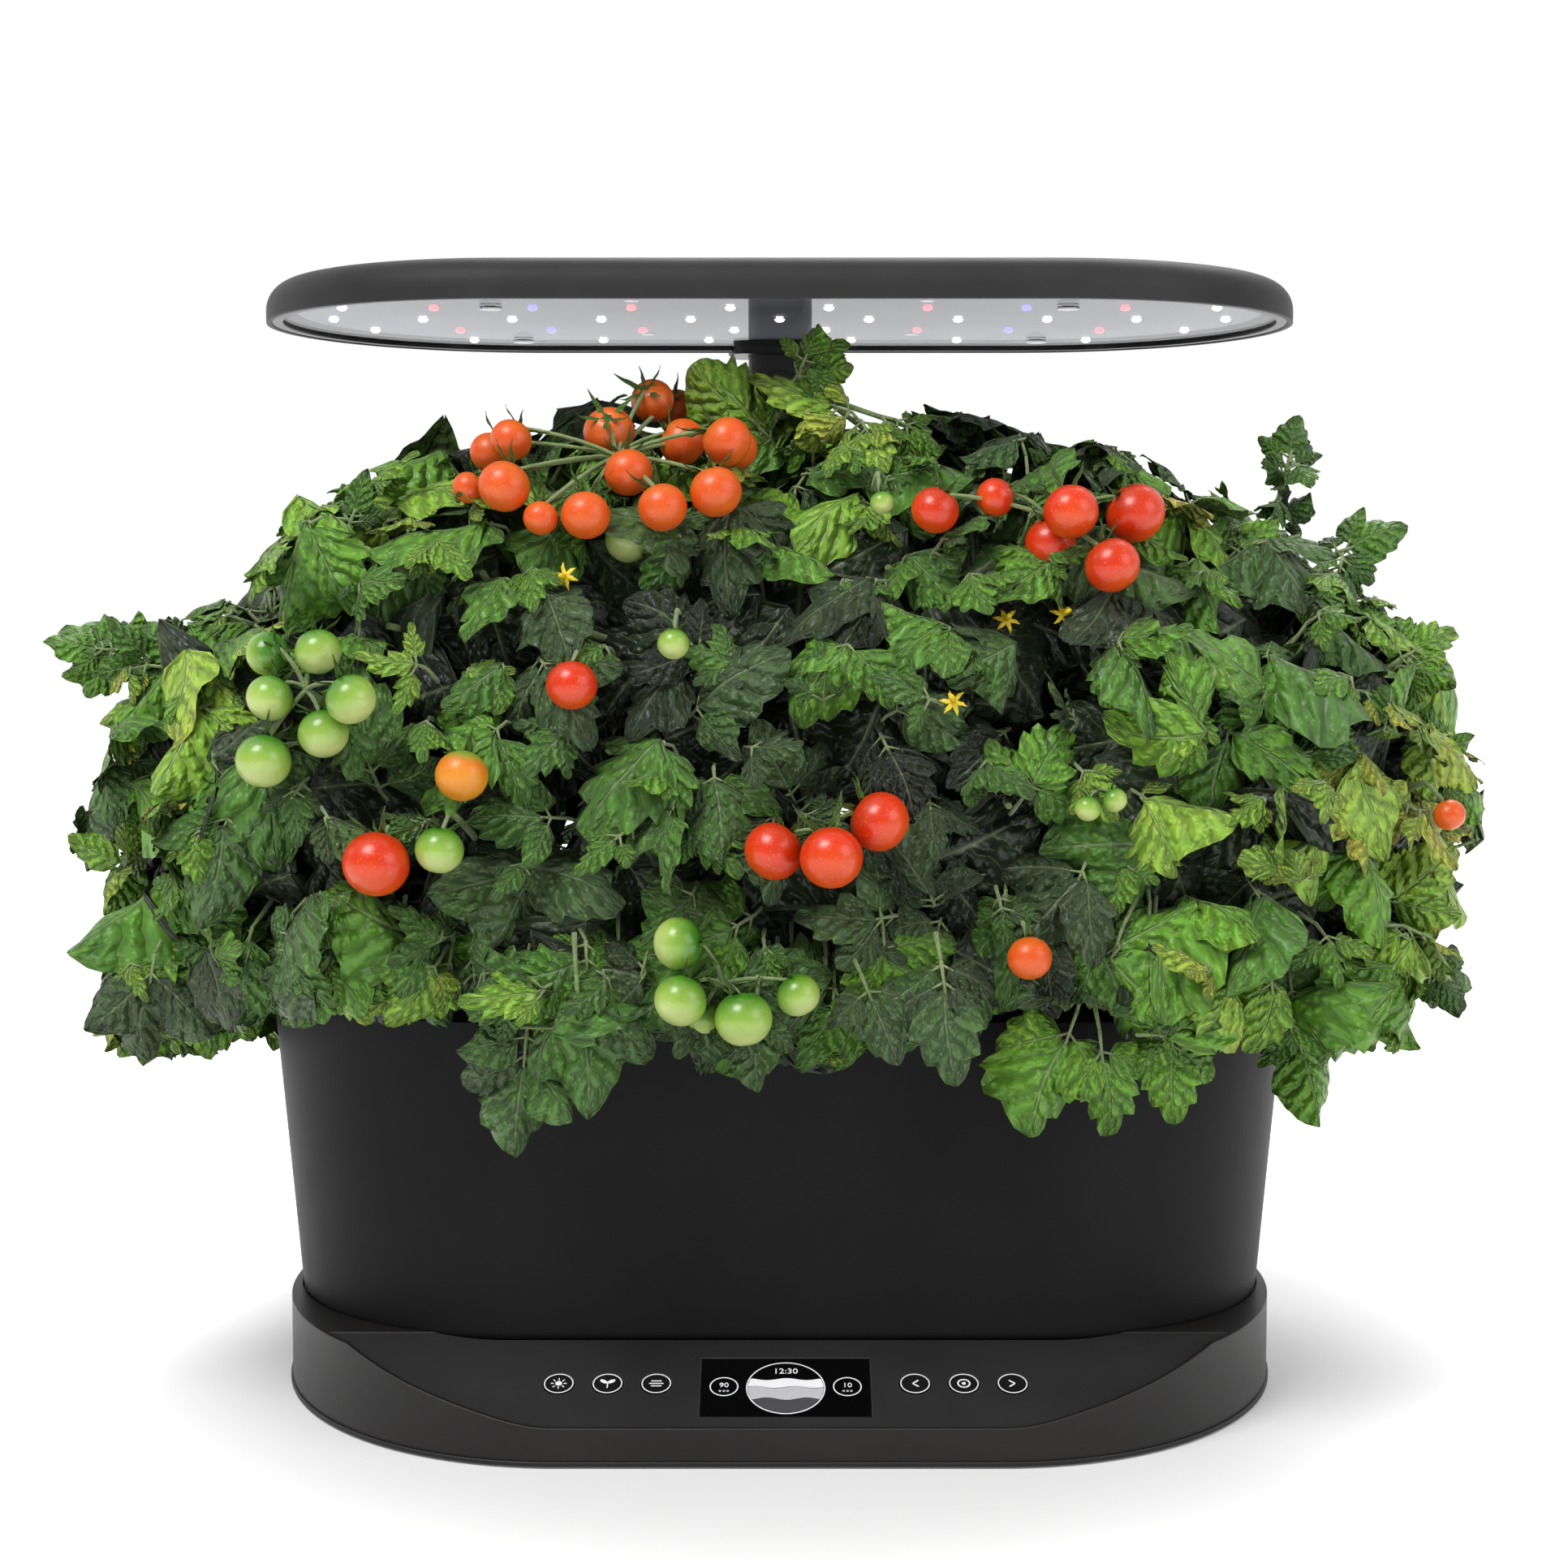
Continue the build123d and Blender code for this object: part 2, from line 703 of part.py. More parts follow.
# ------------------------------------------------------------------ mast
def make_mast_column():
    corner = tube_corner + 2 * (tube_wall + tube_gap)
    tube = mast_tube(column_x, column_y, corner, bowl_seat_z, column_top_z)
    plug = mast_block(column_x - 1, column_y - 1, corner - 0.5, bowl_seat_z,
                      bowl_seat_z + deck_floor + 1)
    for x in (-column_screw_x(), column_screw_x()):
        plug -= upright(screw_radius, x, mast_y, bowl_seat_z - 1, bowl_seat_z + deck_floor)
    return tube + plug


def make_collar(inner_x, inner_y, corner, top_z, bore_x, bore_y, bore_corner):
    """Cap over a tube's top end that guides the next tube through it."""
    low_z = top_z - collar_height + collar_lip
    wall = collar_wall + assembly_gap
    cap = mast_block(inner_x + 2 * wall, inner_y + 2 * wall, corner + wall, low_z, top_z + collar_lip)
    cap -= mast_block(inner_x + 2 * assembly_gap, inner_y + 2 * assembly_gap,
                      corner + assembly_gap, low_z - 1, top_z)
    return cap - mast_block(bore_x + 2 * assembly_gap, bore_y + 2 * assembly_gap,
                            bore_corner + assembly_gap, low_z - 1, top_z + collar_lip + 1)


def make_glide(tube_x, tube_y, corner, low_z):
    """Slipper under a tube: a flange that rides in the outer tube and a plug in the inner."""
    spread = tube_gap - glide_gap
    flange = mast_block(tube_x + 2 * spread, tube_y + 2 * spread, corner + spread,
                        low_z - glide_flange, low_z)
    inset = tube_wall + glide_gap / 2
    plug = mast_block(tube_x - 2 * inset, tube_y - 2 * inset, corner - inset,
                      low_z, low_z + glide_plug)
    passage = mast_block(tube_x / 2, tube_y / 2, 2, low_z - glide_flange - 1, low_z + glide_plug + 1)
    return flange + plug - passage


def make_mast_top_tube():
    tube = mast_tube(top_tube_x, top_tube_y, tube_corner, top_low_z, tube_top_z)
    front_y = mast_y - top_tube_y / 2
    half = tube_face_width / 2
    arch_z = tube_face_high_z - half
    face = box_between((-half, front_y - 1, tube_face_low_z), (half, front_y + tube_face_depth, arch_z))
    arch = rod(half, (0, front_y - 1, arch_z), (0, front_y + tube_face_depth, arch_z))
    return tube - face - arch


# ------------------------------------------------------------------ hood
def hood_profile(inset, low_z):
    """Half section of the hood: upright side, rounded edge and a gently crowned top."""
    edge = hood_edge_radius - inset
    side = hood_radius - inset
    mid_r = hood_radius - hood_edge_radius
    mid_z = hood_rim_z + hood_side
    lean = math.radians(hood_crown_angle)
    join = (mid_r + edge * math.sin(lean), mid_z + edge * math.cos(lean))
    corner = CenterArc((mid_r, mid_z), edge, 0, 90 - hood_crown_angle)
    crown_radius = join[0] / math.sin(lean)
    crown_mid_z = join[1] - crown_radius * math.cos(lean)
    crown = CenterArc((0, crown_mid_z), crown_radius, 90 - hood_crown_angle, hood_crown_angle)
    top = (0, crown_mid_z + crown_radius)
    rest = Polyline(top, (0, low_z), (side, low_z), (side, mid_z))
    return make_face([corner, crown, rest])


def neck_space(gap, low_z, high_z):
    """Upright block at the mast that the neck needs."""
    return mast_block(2 * (neck_half_width + gap), 2 * (neck_half_depth + gap), tube_corner + gap,
                      low_z, high_z)


def make_hood_shell():
    outer = racetrack(hood_profile(0, hood_rim_z), hood_half_straight, hood_mid_y)
    bump = mast_block(2 * (neck_half_width + hood_wall + 0.3), 2 * (neck_half_depth + hood_wall + 0.3),
                      tube_corner + hood_wall, hood_rim_z, hood_top_z)
    bump = fillet(bump.faces().sort_by(Axis.Z)[-1].edges(), 3.0)
    outer += bump
    inner = racetrack(hood_profile(hood_wall, hood_rim_z - 1), hood_half_straight, hood_mid_y)
    shell = outer - inner - neck_space(0.3, hood_rim_z - 1, neck_low_z + neck_height)
    for x, y in hood_screw_places():
        shell += upright(boss_radius, x, y, sink_top_z, hood_top_z + 1)
        shell -= upright(screw_radius, x, y, sink_top_z - 1, sink_top_z + 5)
    return shell


def hood_screw_places():
    """Four screws that clamp the lamp board and heat sink to the hood."""
    return [(sx * hood_screw_x, hood_mid_y + sy * hood_screw_y) for sx in (-1, 1) for sy in (-1, 1)]


def peg_places():
    """Four clear pegs that hold the cover below the lamp board."""
    return [(sx * peg_x, hood_mid_y + sy * peg_y) for sx in (-1, 1) for sy in (-1, 1)]


def lamp_plate(radius, low_z, high_z):
    """Flat plate inside the hood, notched round the neck."""
    plate = track_plate(hood_half_straight, radius, hood_mid_y, low_z, high_z)
    return plate - neck_space(0.5, low_z - 1, high_z + 1)


def make_hood_bezel():
    outer = hood_radius - hood_wall - assembly_gap
    low_z = hood_rim_z + bezel_lip_z
    ring = lamp_plate(outer, low_z, board_low_z)
    ring -= track_plate(hood_half_straight, outer - bezel_width, hood_mid_y, low_z - 1, board_low_z + 1)
    seat = cover_radius() + assembly_gap
    return ring - track_plate(hood_half_straight, seat, hood_mid_y, cover_low_z, board_low_z + 1)


def cover_radius():
    """Radius of the clear cover's ends, which lie on the bezel's lip."""
    return hood_radius - hood_wall - bezel_width + 2.0


def make_light_cover():
    cover = lamp_plate(cover_radius(), cover_low_z, cover_top_z)
    for x, y in peg_places():
        cover -= upright(peg_radius + assembly_gap, x, y, cover_low_z - 1, cover_top_z + 1)
    return cover


def make_led_board():
    board = lamp_plate(led_board_radius, board_low_z, sink_low_z)
    for x, y in hood_screw_places():
        board -= upright(screw_radius + screw_play, x, y, board_low_z - 1, sink_low_z + 1)
    return board


def make_heat_sink():
    sink = lamp_plate(sink_radius, sink_low_z, sink_top_z)
    for x, y in hood_screw_places():
        sink -= upright(screw_radius + screw_play, x, y, sink_low_z - 1, sink_top_z + 1)
    return sink


def led_places():
    """Places of the white, red and blue lamps, in five rows on the board."""
    white = [(led_mid_pitch * step, 0) for step in range(-led_mid_half_count, led_mid_half_count + 1)]
    red = []
    blue = []
    for side in (-1, 1):
        for row in (-led_row_pitch, led_row_pitch):
            white += [(side * x, row) for x in led_row_white]
            red += [(side * x, row) for x in led_row_red]
            blue += [(side * x, row) for x in led_row_blue]
            white += [(side * x, 2 * row) for x in led_edge_row_white]
    return white, red, blue


def make_leds(places):
    half = led_size / 2
    lamps = []
    for x, y in places:
        low = (x - half, hood_mid_y + y - half, led_low_z)
        lamps.append(box_between(low, (x + half, hood_mid_y + y + half, board_low_z)))
    return group(lamps)


def make_cover_pegs():
    pegs = []
    for x, y in peg_places():
        head = upright(peg_head_radius, x, y, cover_low_z - bezel_lip, cover_low_z)
        pegs.append(head + upright(peg_radius, x, y, cover_low_z, board_low_z))
    return group(pegs)


def make_hood_screws():
    screws = []
    for x, y in hood_screw_places():
        head = upright(screw_head_radius, x, y, board_low_z - 1.0, board_low_z)
        screws.append(head + upright(screw_radius, x, y, board_low_z, sink_top_z + 4))
    return group(screws)


def make_hood_neck():
    block = neck_space(0, neck_low_z, neck_low_z + neck_height)
    return block - mast_block(top_tube_x, top_tube_y, tube_corner, neck_low_z - 1, tube_top_z)


# ------------------------------------------------------------------ bowl and deck
def bowl_radius(z):
    """Outside radius of the bowl's round ends at a height."""
    return bowl_base_radius + bowl_slope * (z - bowl_seat_z)


def bowl_section(inset, low_z, high_z):
    """Half section of a tapering bowl wall line, drawn in by an inset."""
    corner = bowl_corner - inset
    return make_face(FilletPolyline(
        (0, low_z), (bowl_radius(low_z) - inset, low_z), (bowl_radius(high_z) - inset, high_z),
        (0, high_z), radius=[0, corner, 0, 0], close=True,
    ))


def ring_section(inner_inset, outer_inset, low_z, high_z):
    """Section of a ring that follows the bowl's wall."""
    return make_face(Polyline(
        (bowl_radius(low_z) - inner_inset, low_z), (bowl_radius(low_z) - outer_inset, low_z),
        (bowl_radius(high_z) - outer_inset, high_z), (bowl_radius(high_z) - inner_inset, high_z),
        close=True,
    ))


def bowl_solid(inset, low_z, high_z):
    """Tapering racetrack block bounded by the bowl's wall line."""
    return racetrack(bowl_section(inset, low_z, high_z), bowl_half_straight, bowl_mid_y)


def lid_region(gap, low_z):
    """Upright block over the front right corner that the fill lid takes up."""
    return box_between((lid_left_x - gap, -300, low_z - gap), (lid_right_x + gap, lid_rear_y, 400))


def make_bowl():
    outer = bowl_solid(0, bowl_seat_z, bowl_rim_z)
    inner = bowl_solid(bowl_wall, bowl_inside_z, bowl_rim_z + 1)
    ledge = racetrack(
        ring_section(bowl_wall + ledge_width, bowl_wall, ledge_top_z - ledge_height, ledge_top_z),
        bowl_half_straight, bowl_mid_y,
    )
    return outer - inner + ledge - lid_region(lid_gap, bowl_rim_z - lid_apron)


def make_grow_deck():
    deck = track_plate(bowl_half_straight, deck_radius(), bowl_mid_y, deck_low_z, deck_top_z)
    skirt = track_plate(bowl_half_straight, deck_radius(), bowl_mid_y, ledge_top_z, deck_low_z)
    skirt -= track_plate(bowl_half_straight, deck_radius() - deck_skirt_width, bowl_mid_y,
                         ledge_top_z - 1, deck_low_z + 1)
    deck += skirt
    collar_radius = pod_hole_radius + pod_collar_width
    for x, y in back_row + front_row:
        deck += upright(collar_radius, x, y, deck_top_z, deck_top_z + pod_collar_height)
    for x, y in back_row + front_row:
        deck -= upright(pod_hole_radius, x, y, ledge_top_z, deck_top_z + 10)
    rear_y = lid_rear_y + 2 * lid_gap
    deck -= box_between((lid_left_x - lid_gap, -300, 0), (lid_right_x + lid_gap, rear_y, 400))
    return deck + lid_ears() - lid_hinge_space()


def deck_radius():
    """Radius of the deck's ends, clear of the bowl's inner wall at the ledge."""
    return bowl_radius(ledge_top_z) - bowl_wall - deck_gap


def lid_hinge_x():
    """Sideways ends of the lid's knuckle."""
    return lid_left_x + lid_knuckle_margin, lid_right_x - lid_knuckle_margin


def lid_hinge_space():
    """Notch in the deck round the knuckle, and the pin's bore through the ears."""
    low_x, high_x = lid_hinge_x()
    reach = lid_knuckle_radius + lid_gap
    notch = box_between((low_x - lid_gap, lid_rear_y - 1, 0),
                        (high_x + lid_gap, lid_axis_y + reach, 400))
    pin = rod(lid_pin_radius, (low_x - lid_ear_width, lid_axis_y, lid_axis_z),
              (high_x + lid_ear_width, lid_axis_y, lid_axis_z))
    return notch + pin


def lid_ears():
    """Two ears on the deck that hold the lid's pin."""
    low_x, high_x = lid_hinge_x()
    reach = lid_knuckle_radius
    ears = []
    for start in (low_x - lid_gap - lid_ear_width, high_x + lid_gap):
        end = start + lid_ear_width
        block = box_between((start, lid_axis_y - reach, deck_low_z),
                            (end, lid_axis_y + reach, lid_axis_z))
        ears.append(block + rod(reach, (start, lid_axis_y, lid_axis_z), (end, lid_axis_y, lid_axis_z)))
    return ears[0] + ears[1]


def make_fill_lid():
    low_z = bowl_rim_z - lid_apron
    region = box_between((lid_left_x, -300, low_z), (lid_right_x, lid_rear_y, bowl_rim_z))
    skin = bowl_solid(0, bowl_seat_z, bowl_rim_z) & region
    skin -= bowl_solid(lid_thick, bowl_inside_z, bowl_rim_z - lid_thick)
    low_x, high_x = lid_hinge_x()
    knuckle = rod(lid_knuckle_radius, (low_x, lid_axis_y, lid_axis_z), (high_x, lid_axis_y, lid_axis_z))
    web = box_between((low_x, lid_rear_y - 1, lid_axis_z), (high_x, lid_axis_y, bowl_rim_z))
    bore = rod(lid_pin_radius + pin_running_gap, (low_x - 1, lid_axis_y, lid_axis_z),
               (high_x + 1, lid_axis_y, lid_axis_z))
    return skin + web + knuckle - bore


def make_fill_lid_pin():
    low_x, high_x = lid_hinge_x()
    return rod(lid_pin_radius, (low_x - lid_ear_width, lid_axis_y, lid_axis_z),
               (high_x + lid_ear_width, lid_axis_y, lid_axis_z))


def seat_z():
    """Height that the pods' flanges rest on."""
    return deck_top_z + pod_collar_height


def make_basket(x, y):
    """Slotted, tapering basket that hangs by its flange in a pod hole."""
    height = basket_length
    low_z = seat_z() - height
    cup = Cone(basket_base_radius, basket_top_radius, height,
               align=(Align.CENTER, Align.CENTER, Align.MIN))
    inside = Pos(0, 0, basket_wall) * Cone(
        basket_base_radius - basket_wall, basket_top_radius - basket_wall, height,
        align=(Align.CENTER, Align.CENTER, Align.MIN))
    flange = Pos(0, 0, height) * Cylinder(
        basket_top_radius + basket_flange, basket_flange_thick,
        align=(Align.CENTER, Align.CENTER, Align.MIN))
    basket = cup + flange - inside
    slot = Box(basket_top_radius, basket_slot_width, basket_slot_length)
    slot = Pos(basket_base_radius, 0, basket_slot_high) * slot
    for step in range(basket_slots):
        basket -= Rot(0, 0, step * 360 / basket_slots) * slot
    return Pos(x, y, low_z) * basket


def make_sponge(x, y):
    """Peat sponge in a basket."""
    inset = basket_wall + sponge_gap
    low = inset
    high = basket_length - sponge_sink
    spread = (basket_top_radius - basket_base_radius) / basket_length
    radii = [basket_base_radius - inset + spread * (height - basket_wall) for height in (low, high)]
    plug = Cone(*radii, high - low, align=(Align.CENTER, Align.CENTER, Align.MIN))
    return Pos(x, y, seat_z() - basket_length + low) * plug


def make_spacer(x, y):
    """Plug with a finger knob that closes an unused pod hole."""
    plug = upright(pod_hole_radius - 0.4, x, y, seat_z() - spacer_depth, seat_z())
    plug += upright(basket_top_radius + basket_flange, x, y, seat_z(), seat_z() + basket_flange_thick)
    knob_low = seat_z() + basket_flange_thick
    return plug + upright(spacer_knob_radius, x, y, knob_low, knob_low + spacer_knob_height)


# ------------------------------------------------------------------ pump and float
def pump_top_z():
    """Top of the pump housing, under its cover."""
    return bowl_inside_z + pump_height


def make_pump_housing():
    outline = RectangleRounded(pump_width, pump_depth, pump_corner)
    body = Pos(pump_x, pump_y, bowl_inside_z) * extrude(outline, pump_height)
    chamber_low = pump_top_z() - rotor_height - 2 * rotor_gap
    body -= upright(rotor_radius + rotor_gap, pump_x, pump_y, chamber_low, pump_top_z() + 1)
    body += upright(rotor_shaft_radius, pump_x, pump_y, chamber_low - 1, pump_top_z() - rotor_gap)
    port_x = riser_x()
    body -= rod(riser_radius - riser_wall, (pump_x - rotor_radius, pump_y, chamber_low + rotor_height / 2),
                (port_x, pump_y, chamber_low + rotor_height / 2))
    body -= upright(riser_radius - riser_wall, port_x, pump_y,
                    chamber_low + rotor_height / 2, pump_top_z() + 1)
    return body


def riser_x():
    """Sideways place of the riser, between the chamber and the housing's left side."""
    return pump_x - (rotor_radius + rotor_gap + pump_width / 2) / 2


def make_pump_rotor():
    low_z = pump_top_z() - rotor_height - rotor_gap
    rotor = upright(rotor_hub_radius, pump_x, pump_y, low_z, low_z + rotor_height)
    rotor += upright(rotor_radius, pump_x, pump_y, low_z, low_z + rotor_disc_thick)
    blade = Box(rotor_radius - rotor_disc_lip, rotor_blade_thick, rotor_height,
                align=(Align.MIN, Align.CENTER, Align.MIN))
    for step in range(rotor_blades):
        rotor += Pos(pump_x, pump_y, low_z) * Rot(0, 0, step * 360 / rotor_blades) * blade
    return rotor - upright(rotor_shaft_radius + pin_running_gap, pump_x, pump_y,
                           low_z - 1, low_z + rotor_height + 1)


def make_pump_cover():
    outline = RectangleRounded(pump_width, pump_depth, pump_corner)
    cover = Pos(pump_x, pump_y, pump_top_z()) * extrude(outline, pump_cover_thick)
    for step in range(-2, 3):
        slot = Box(pump_slot_width, pump_slot_length, 4 * pump_cover_thick)
        cover -= Pos(pump_x + pump_slot_pitch * step, pump_y, pump_top_z()) * slot
    cover -= upright(riser_radius, riser_x(), pump_y, pump_top_z() - 1, pump_top_z() + 10)
    return cover


def make_pump_filter():
    low_z = pump_top_z() + pump_cover_thick
    left = riser_x() + riser_radius + 1
    return box_between((left, pump_y - pump_depth / 2 + 2, low_z),
                       (pump_x + pump_width / 2 - 2, pump_y + pump_depth / 2 - 2, low_z + filter_thick))


def make_pump_riser():
    pipe = upright(riser_radius, riser_x(), pump_y, pump_top_z(), deck_low_z)
    return pipe - upright(riser_radius - riser_wall, riser_x(), pump_y, pump_top_z() - 1, deck_low_z - 4)


def make_float_post():
    """Post of the level float, with a stop below and above the float."""
    post = upright(float_post_radius, float_x, float_y, bowl_inside_z, deck_low_z)
    stop_top = bowl_inside_z + float_stop_height
    high_stop = stop_top + float_height + float_travel + 2 * float_gap
    return post + [
        upright(float_stop_radius, float_x, float_y, bowl_inside_z, stop_top),
        upright(float_stop_radius, float_x, float_y, high_stop, high_stop + float_stop_height),
    ]


def make_level_float():
    low_z = bowl_inside_z + float_stop_height + float_gap
    ring = upright(float_radius, float_x, float_y, low_z, low_z + float_height)
    return ring - upright(float_post_radius + float_gap, float_x, float_y,
                          low_z - 1, low_z + float_height + 1)


# ------------------------------------------------------------------ plants
def bush_body(inset):
    """Leaf mass as one smooth dome, drawn in by an inset."""
    faces = []
    for z, half_width, half_depth, end_length in bush_sections:
        at_hem = z == bush_sections[0][0]
        height = z - (min(inset, bush_hem_cut) if at_hem else inset)
        faces.append(oval(half_width - inset, half_depth - inset, end_length - inset,
                          bush_mid_y, height))
    return loft(faces)


def bush_size(z):
    """Half width, half depth and end length of the leaf mass at a height."""
    for low, high in zip(bush_sections, bush_sections[1:]):
        if z <= high[0]:
            share = (z - low[0]) / (high[0] - low[0])
            return [a + share * (b - a) for a, b in zip(low[1:], high[1:])]
    return bush_sections[-1][1:]


def bush_side(x, z, side):
    """Point in the middle of the leaf skin: side -1 is the front and 1 the rear."""
    half_width, half_depth, end_length = bush_size(z)
    past = max(abs(x) - (half_width - end_length), 0.0) / end_length
    reach = half_depth * math.sqrt(1 - min(past, 1.0) ** 2) - bush_skin / 2
    return x, bush_mid_y + side * reach, z


def bush_lean(z):
    """Angle from upright at which the front of the leaf mass closes in at a height."""
    step = cluster_radius / 4
    return math.atan2(bush_size(z - step)[1] - bush_size(z + step)[1], 2 * step)


def cluster_places():
    """Middle of each leaf cluster, row by row round the leaf mass, except behind a fruit."""
    red_fruit = middle_red_truss + lone_red + right_red_truss
    orange_fruit = orange_truss + left_red_truss + turning_fruit
    every_fruit = red_fruit + orange_fruit + left_green_truss + low_green_truss + small_green
    sink = cluster_radius - cluster_rise
    places = []
    for row, (z, count) in enumerate(cluster_rows):
        half_width, half_depth, end_length = bush_size(z)
        inset = sink * math.cos(bush_lean(z))
        height = z - sink * math.sin(bush_lean(z))
        ring = oval(half_width - inset, half_depth - inset, end_length - inset, bush_mid_y, height)
        for step in range(count):
            spot = ring.wire().position_at((step + row % 2 / 2) / count)
            place = (spot.X, spot.Y, spot.Z)
            if all(math.dist(place, fruit[:3]) > cluster_radius + fruit[3] / 3 for fruit in every_fruit):
                places.append(place)
    return places


def make_canopies():
    """Leaf skin with its clusters, cut into one piece for each plant, with a slot for the mast."""
    clusters = [Pos(*place) * leaf_turn * Sphere(cluster_radius) for place in cluster_places()]
    skin = bush_body(0) + clusters - bush_body(bush_skin)
    slot_half = column_x / 2 + mast_clearance
    skin -= box_between((-slot_half, mast_y - column_y / 2 - mast_clearance / 2, 0),
                        (slot_half, 400, 600))
    cuts = [-400, -bush_cut_outer, -bush_cut_inner, bush_cut_inner, bush_cut_outer, 400]
    half = bush_gap / 2
    pieces = []
    for left, right in zip(cuts, cuts[1:]):
        pieces.append(skin & box_between((left + half, -400, 0), (right - half, 400, 600)))
    return pieces


def make_stems():
    """Main stem and side branches of each plant, from its sponge into its leaf skin."""
    stems = []
    for (x, y), rear, front in zip(planted_pods, branch_rear_shift, branch_front_shift):
        fork = (x, y + fork_share * (bush_mid_y - y), fork_z)
        plant = rod(stem_radius, (x, y, stem_base_z), fork)
        plant += [
            Pos(*fork) * Sphere(stem_radius),
            rod(branch_radius, fork, bush_side(x, branch_high_z, -1)),
            rod(branch_radius, fork, bush_side(x + rear, branch_rear_z, 1)),
            rod(branch_radius, fork, bush_side(x + front, branch_low_z, -1)),
        ]
        stems.append(plant)
    return group(stems)


def make_fruit(places):
    return group([Pos(x, y, z) * Sphere(radius) for x, y, z, radius in places])


def make_sprigs():
    sprigs = []
    runs = [left_sprig, high_sprig, right_sprig, side_sprig, low_sprig, top_sprig]
    clusters = [left_sprig_pads, high_sprig_pads, right_sprig_pads, side_sprig_pads,
                low_sprig_pads, top_sprig_pads]
    for (root, tip), leaves in zip(runs, clusters):
        first = leaves[0][:3]
        twigs = [rod(twig_radius, first, leaf[:3]) for leaf in leaves[1:]]
        pads = [Pos(x, y, z) * leaf_turn * Sphere(radius) for x, y, z, radius in leaves]
        sprigs.append(rod(branch_radius, root, tip) + twigs + pads)
    return group(sprigs)


# ------------------------------------------------------------------ write every node
def write_base():
    save("base_shell", make_base_shell())
    save("base_pan", make_base_pan())
    save("rubber_feet", make_rubber_feet())
    save("base_screws", make_base_screws())
    save("column_screws", make_column_screws())
    save("control_fascia", make_control_fascia())
    save("display_window", make_display_window())
    save("display_module", make_display_module())
    save("control_board", make_control_board())
    for name, x in key_places.items():
        save(name, make_key(x))
    save("power_board", make_power_board())
    save("power_inlet", make_power_inlet())


def write_mast():
    middle_corner = tube_corner + tube_wall + tube_gap
    column_corner = middle_corner + tube_wall + tube_gap
    save("mast_column", make_mast_column())
    save("mast_middle_tube", mast_tube(middle_tube_x, middle_tube_y, middle_corner,
                                       middle_low_z, middle_top_z))
    save("mast_top_tube", make_mast_top_tube())
    save("column_collar", make_collar(column_x, column_y, column_corner, column_top_z,
                                      middle_tube_x, middle_tube_y, middle_corner))
    save("middle_collar", make_collar(middle_tube_x, middle_tube_y, middle_corner, middle_top_z,
                                      top_tube_x, top_tube_y, tube_corner))
    save("middle_glide", make_glide(middle_tube_x, middle_tube_y, middle_corner, middle_low_z))
    save("top_glide", make_glide(top_tube_x, top_tube_y, tube_corner, top_low_z))


def write_hood():
    white, red, blue = led_places()
    save("hood_shell", make_hood_shell())
    save("hood_bezel", make_hood_bezel())
    save("light_cover", make_light_cover())
    save("led_board", make_led_board())
    save("heat_sink", make_heat_sink())
    save("leds_white", make_leds(white))
    save("leds_red", make_leds(red))
    save("leds_blue", make_leds(blue))
    save("cover_pegs", make_cover_pegs())
    save("hood_screws", make_hood_screws())
    save("hood_neck", make_hood_neck())


def write_bowl():
    save("bowl", make_bowl())
    save("grow_deck", make_grow_deck())
    save("fill_lid", make_fill_lid())
    save("fill_lid_pin", make_fill_lid_pin())
    save("pump_housing", make_pump_housing())
    save("pump_rotor", make_pump_rotor())
    save("pump_cover", make_pump_cover())
    save("pump_filter", make_pump_filter())
    save("pump_riser", make_pump_riser())
    save("float_post", make_float_post())
    save("level_float", make_level_float())
    save("grow_baskets", group([make_basket(x, y) for x, y in planted_pods]))
    save("grow_sponges", group([make_sponge(x, y) for x, y in planted_pods]))
    save("pod_spacers", group([make_spacer(x, y) for x, y in empty_pods]))


def write_plants():
    names = ["far_left", "left", "middle", "right", "far_right"]
    for name, piece in zip(names, make_canopies()):
        save(f"canopy_{name}", piece)
    save("plant_stems", make_stems())
    save("leafy_sprigs", make_sprigs())
    save("tomatoes_red", make_fruit(middle_red_truss + lone_red + right_red_truss))
    save("tomatoes_orange", make_fruit(orange_truss + left_red_truss + turning_fruit))
    save("tomatoes_green", make_fruit(left_green_truss + low_green_truss + small_green))


os.makedirs("parts", exist_ok=True)
write_base()
write_mast()
write_hood()
write_bowl()
write_plants()
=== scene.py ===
import bisect
import itertools
import math
import random

import bmesh
import bpy
from mathutils import Matrix, Vector, noise
from mathutils.bvhtree import BVHTree


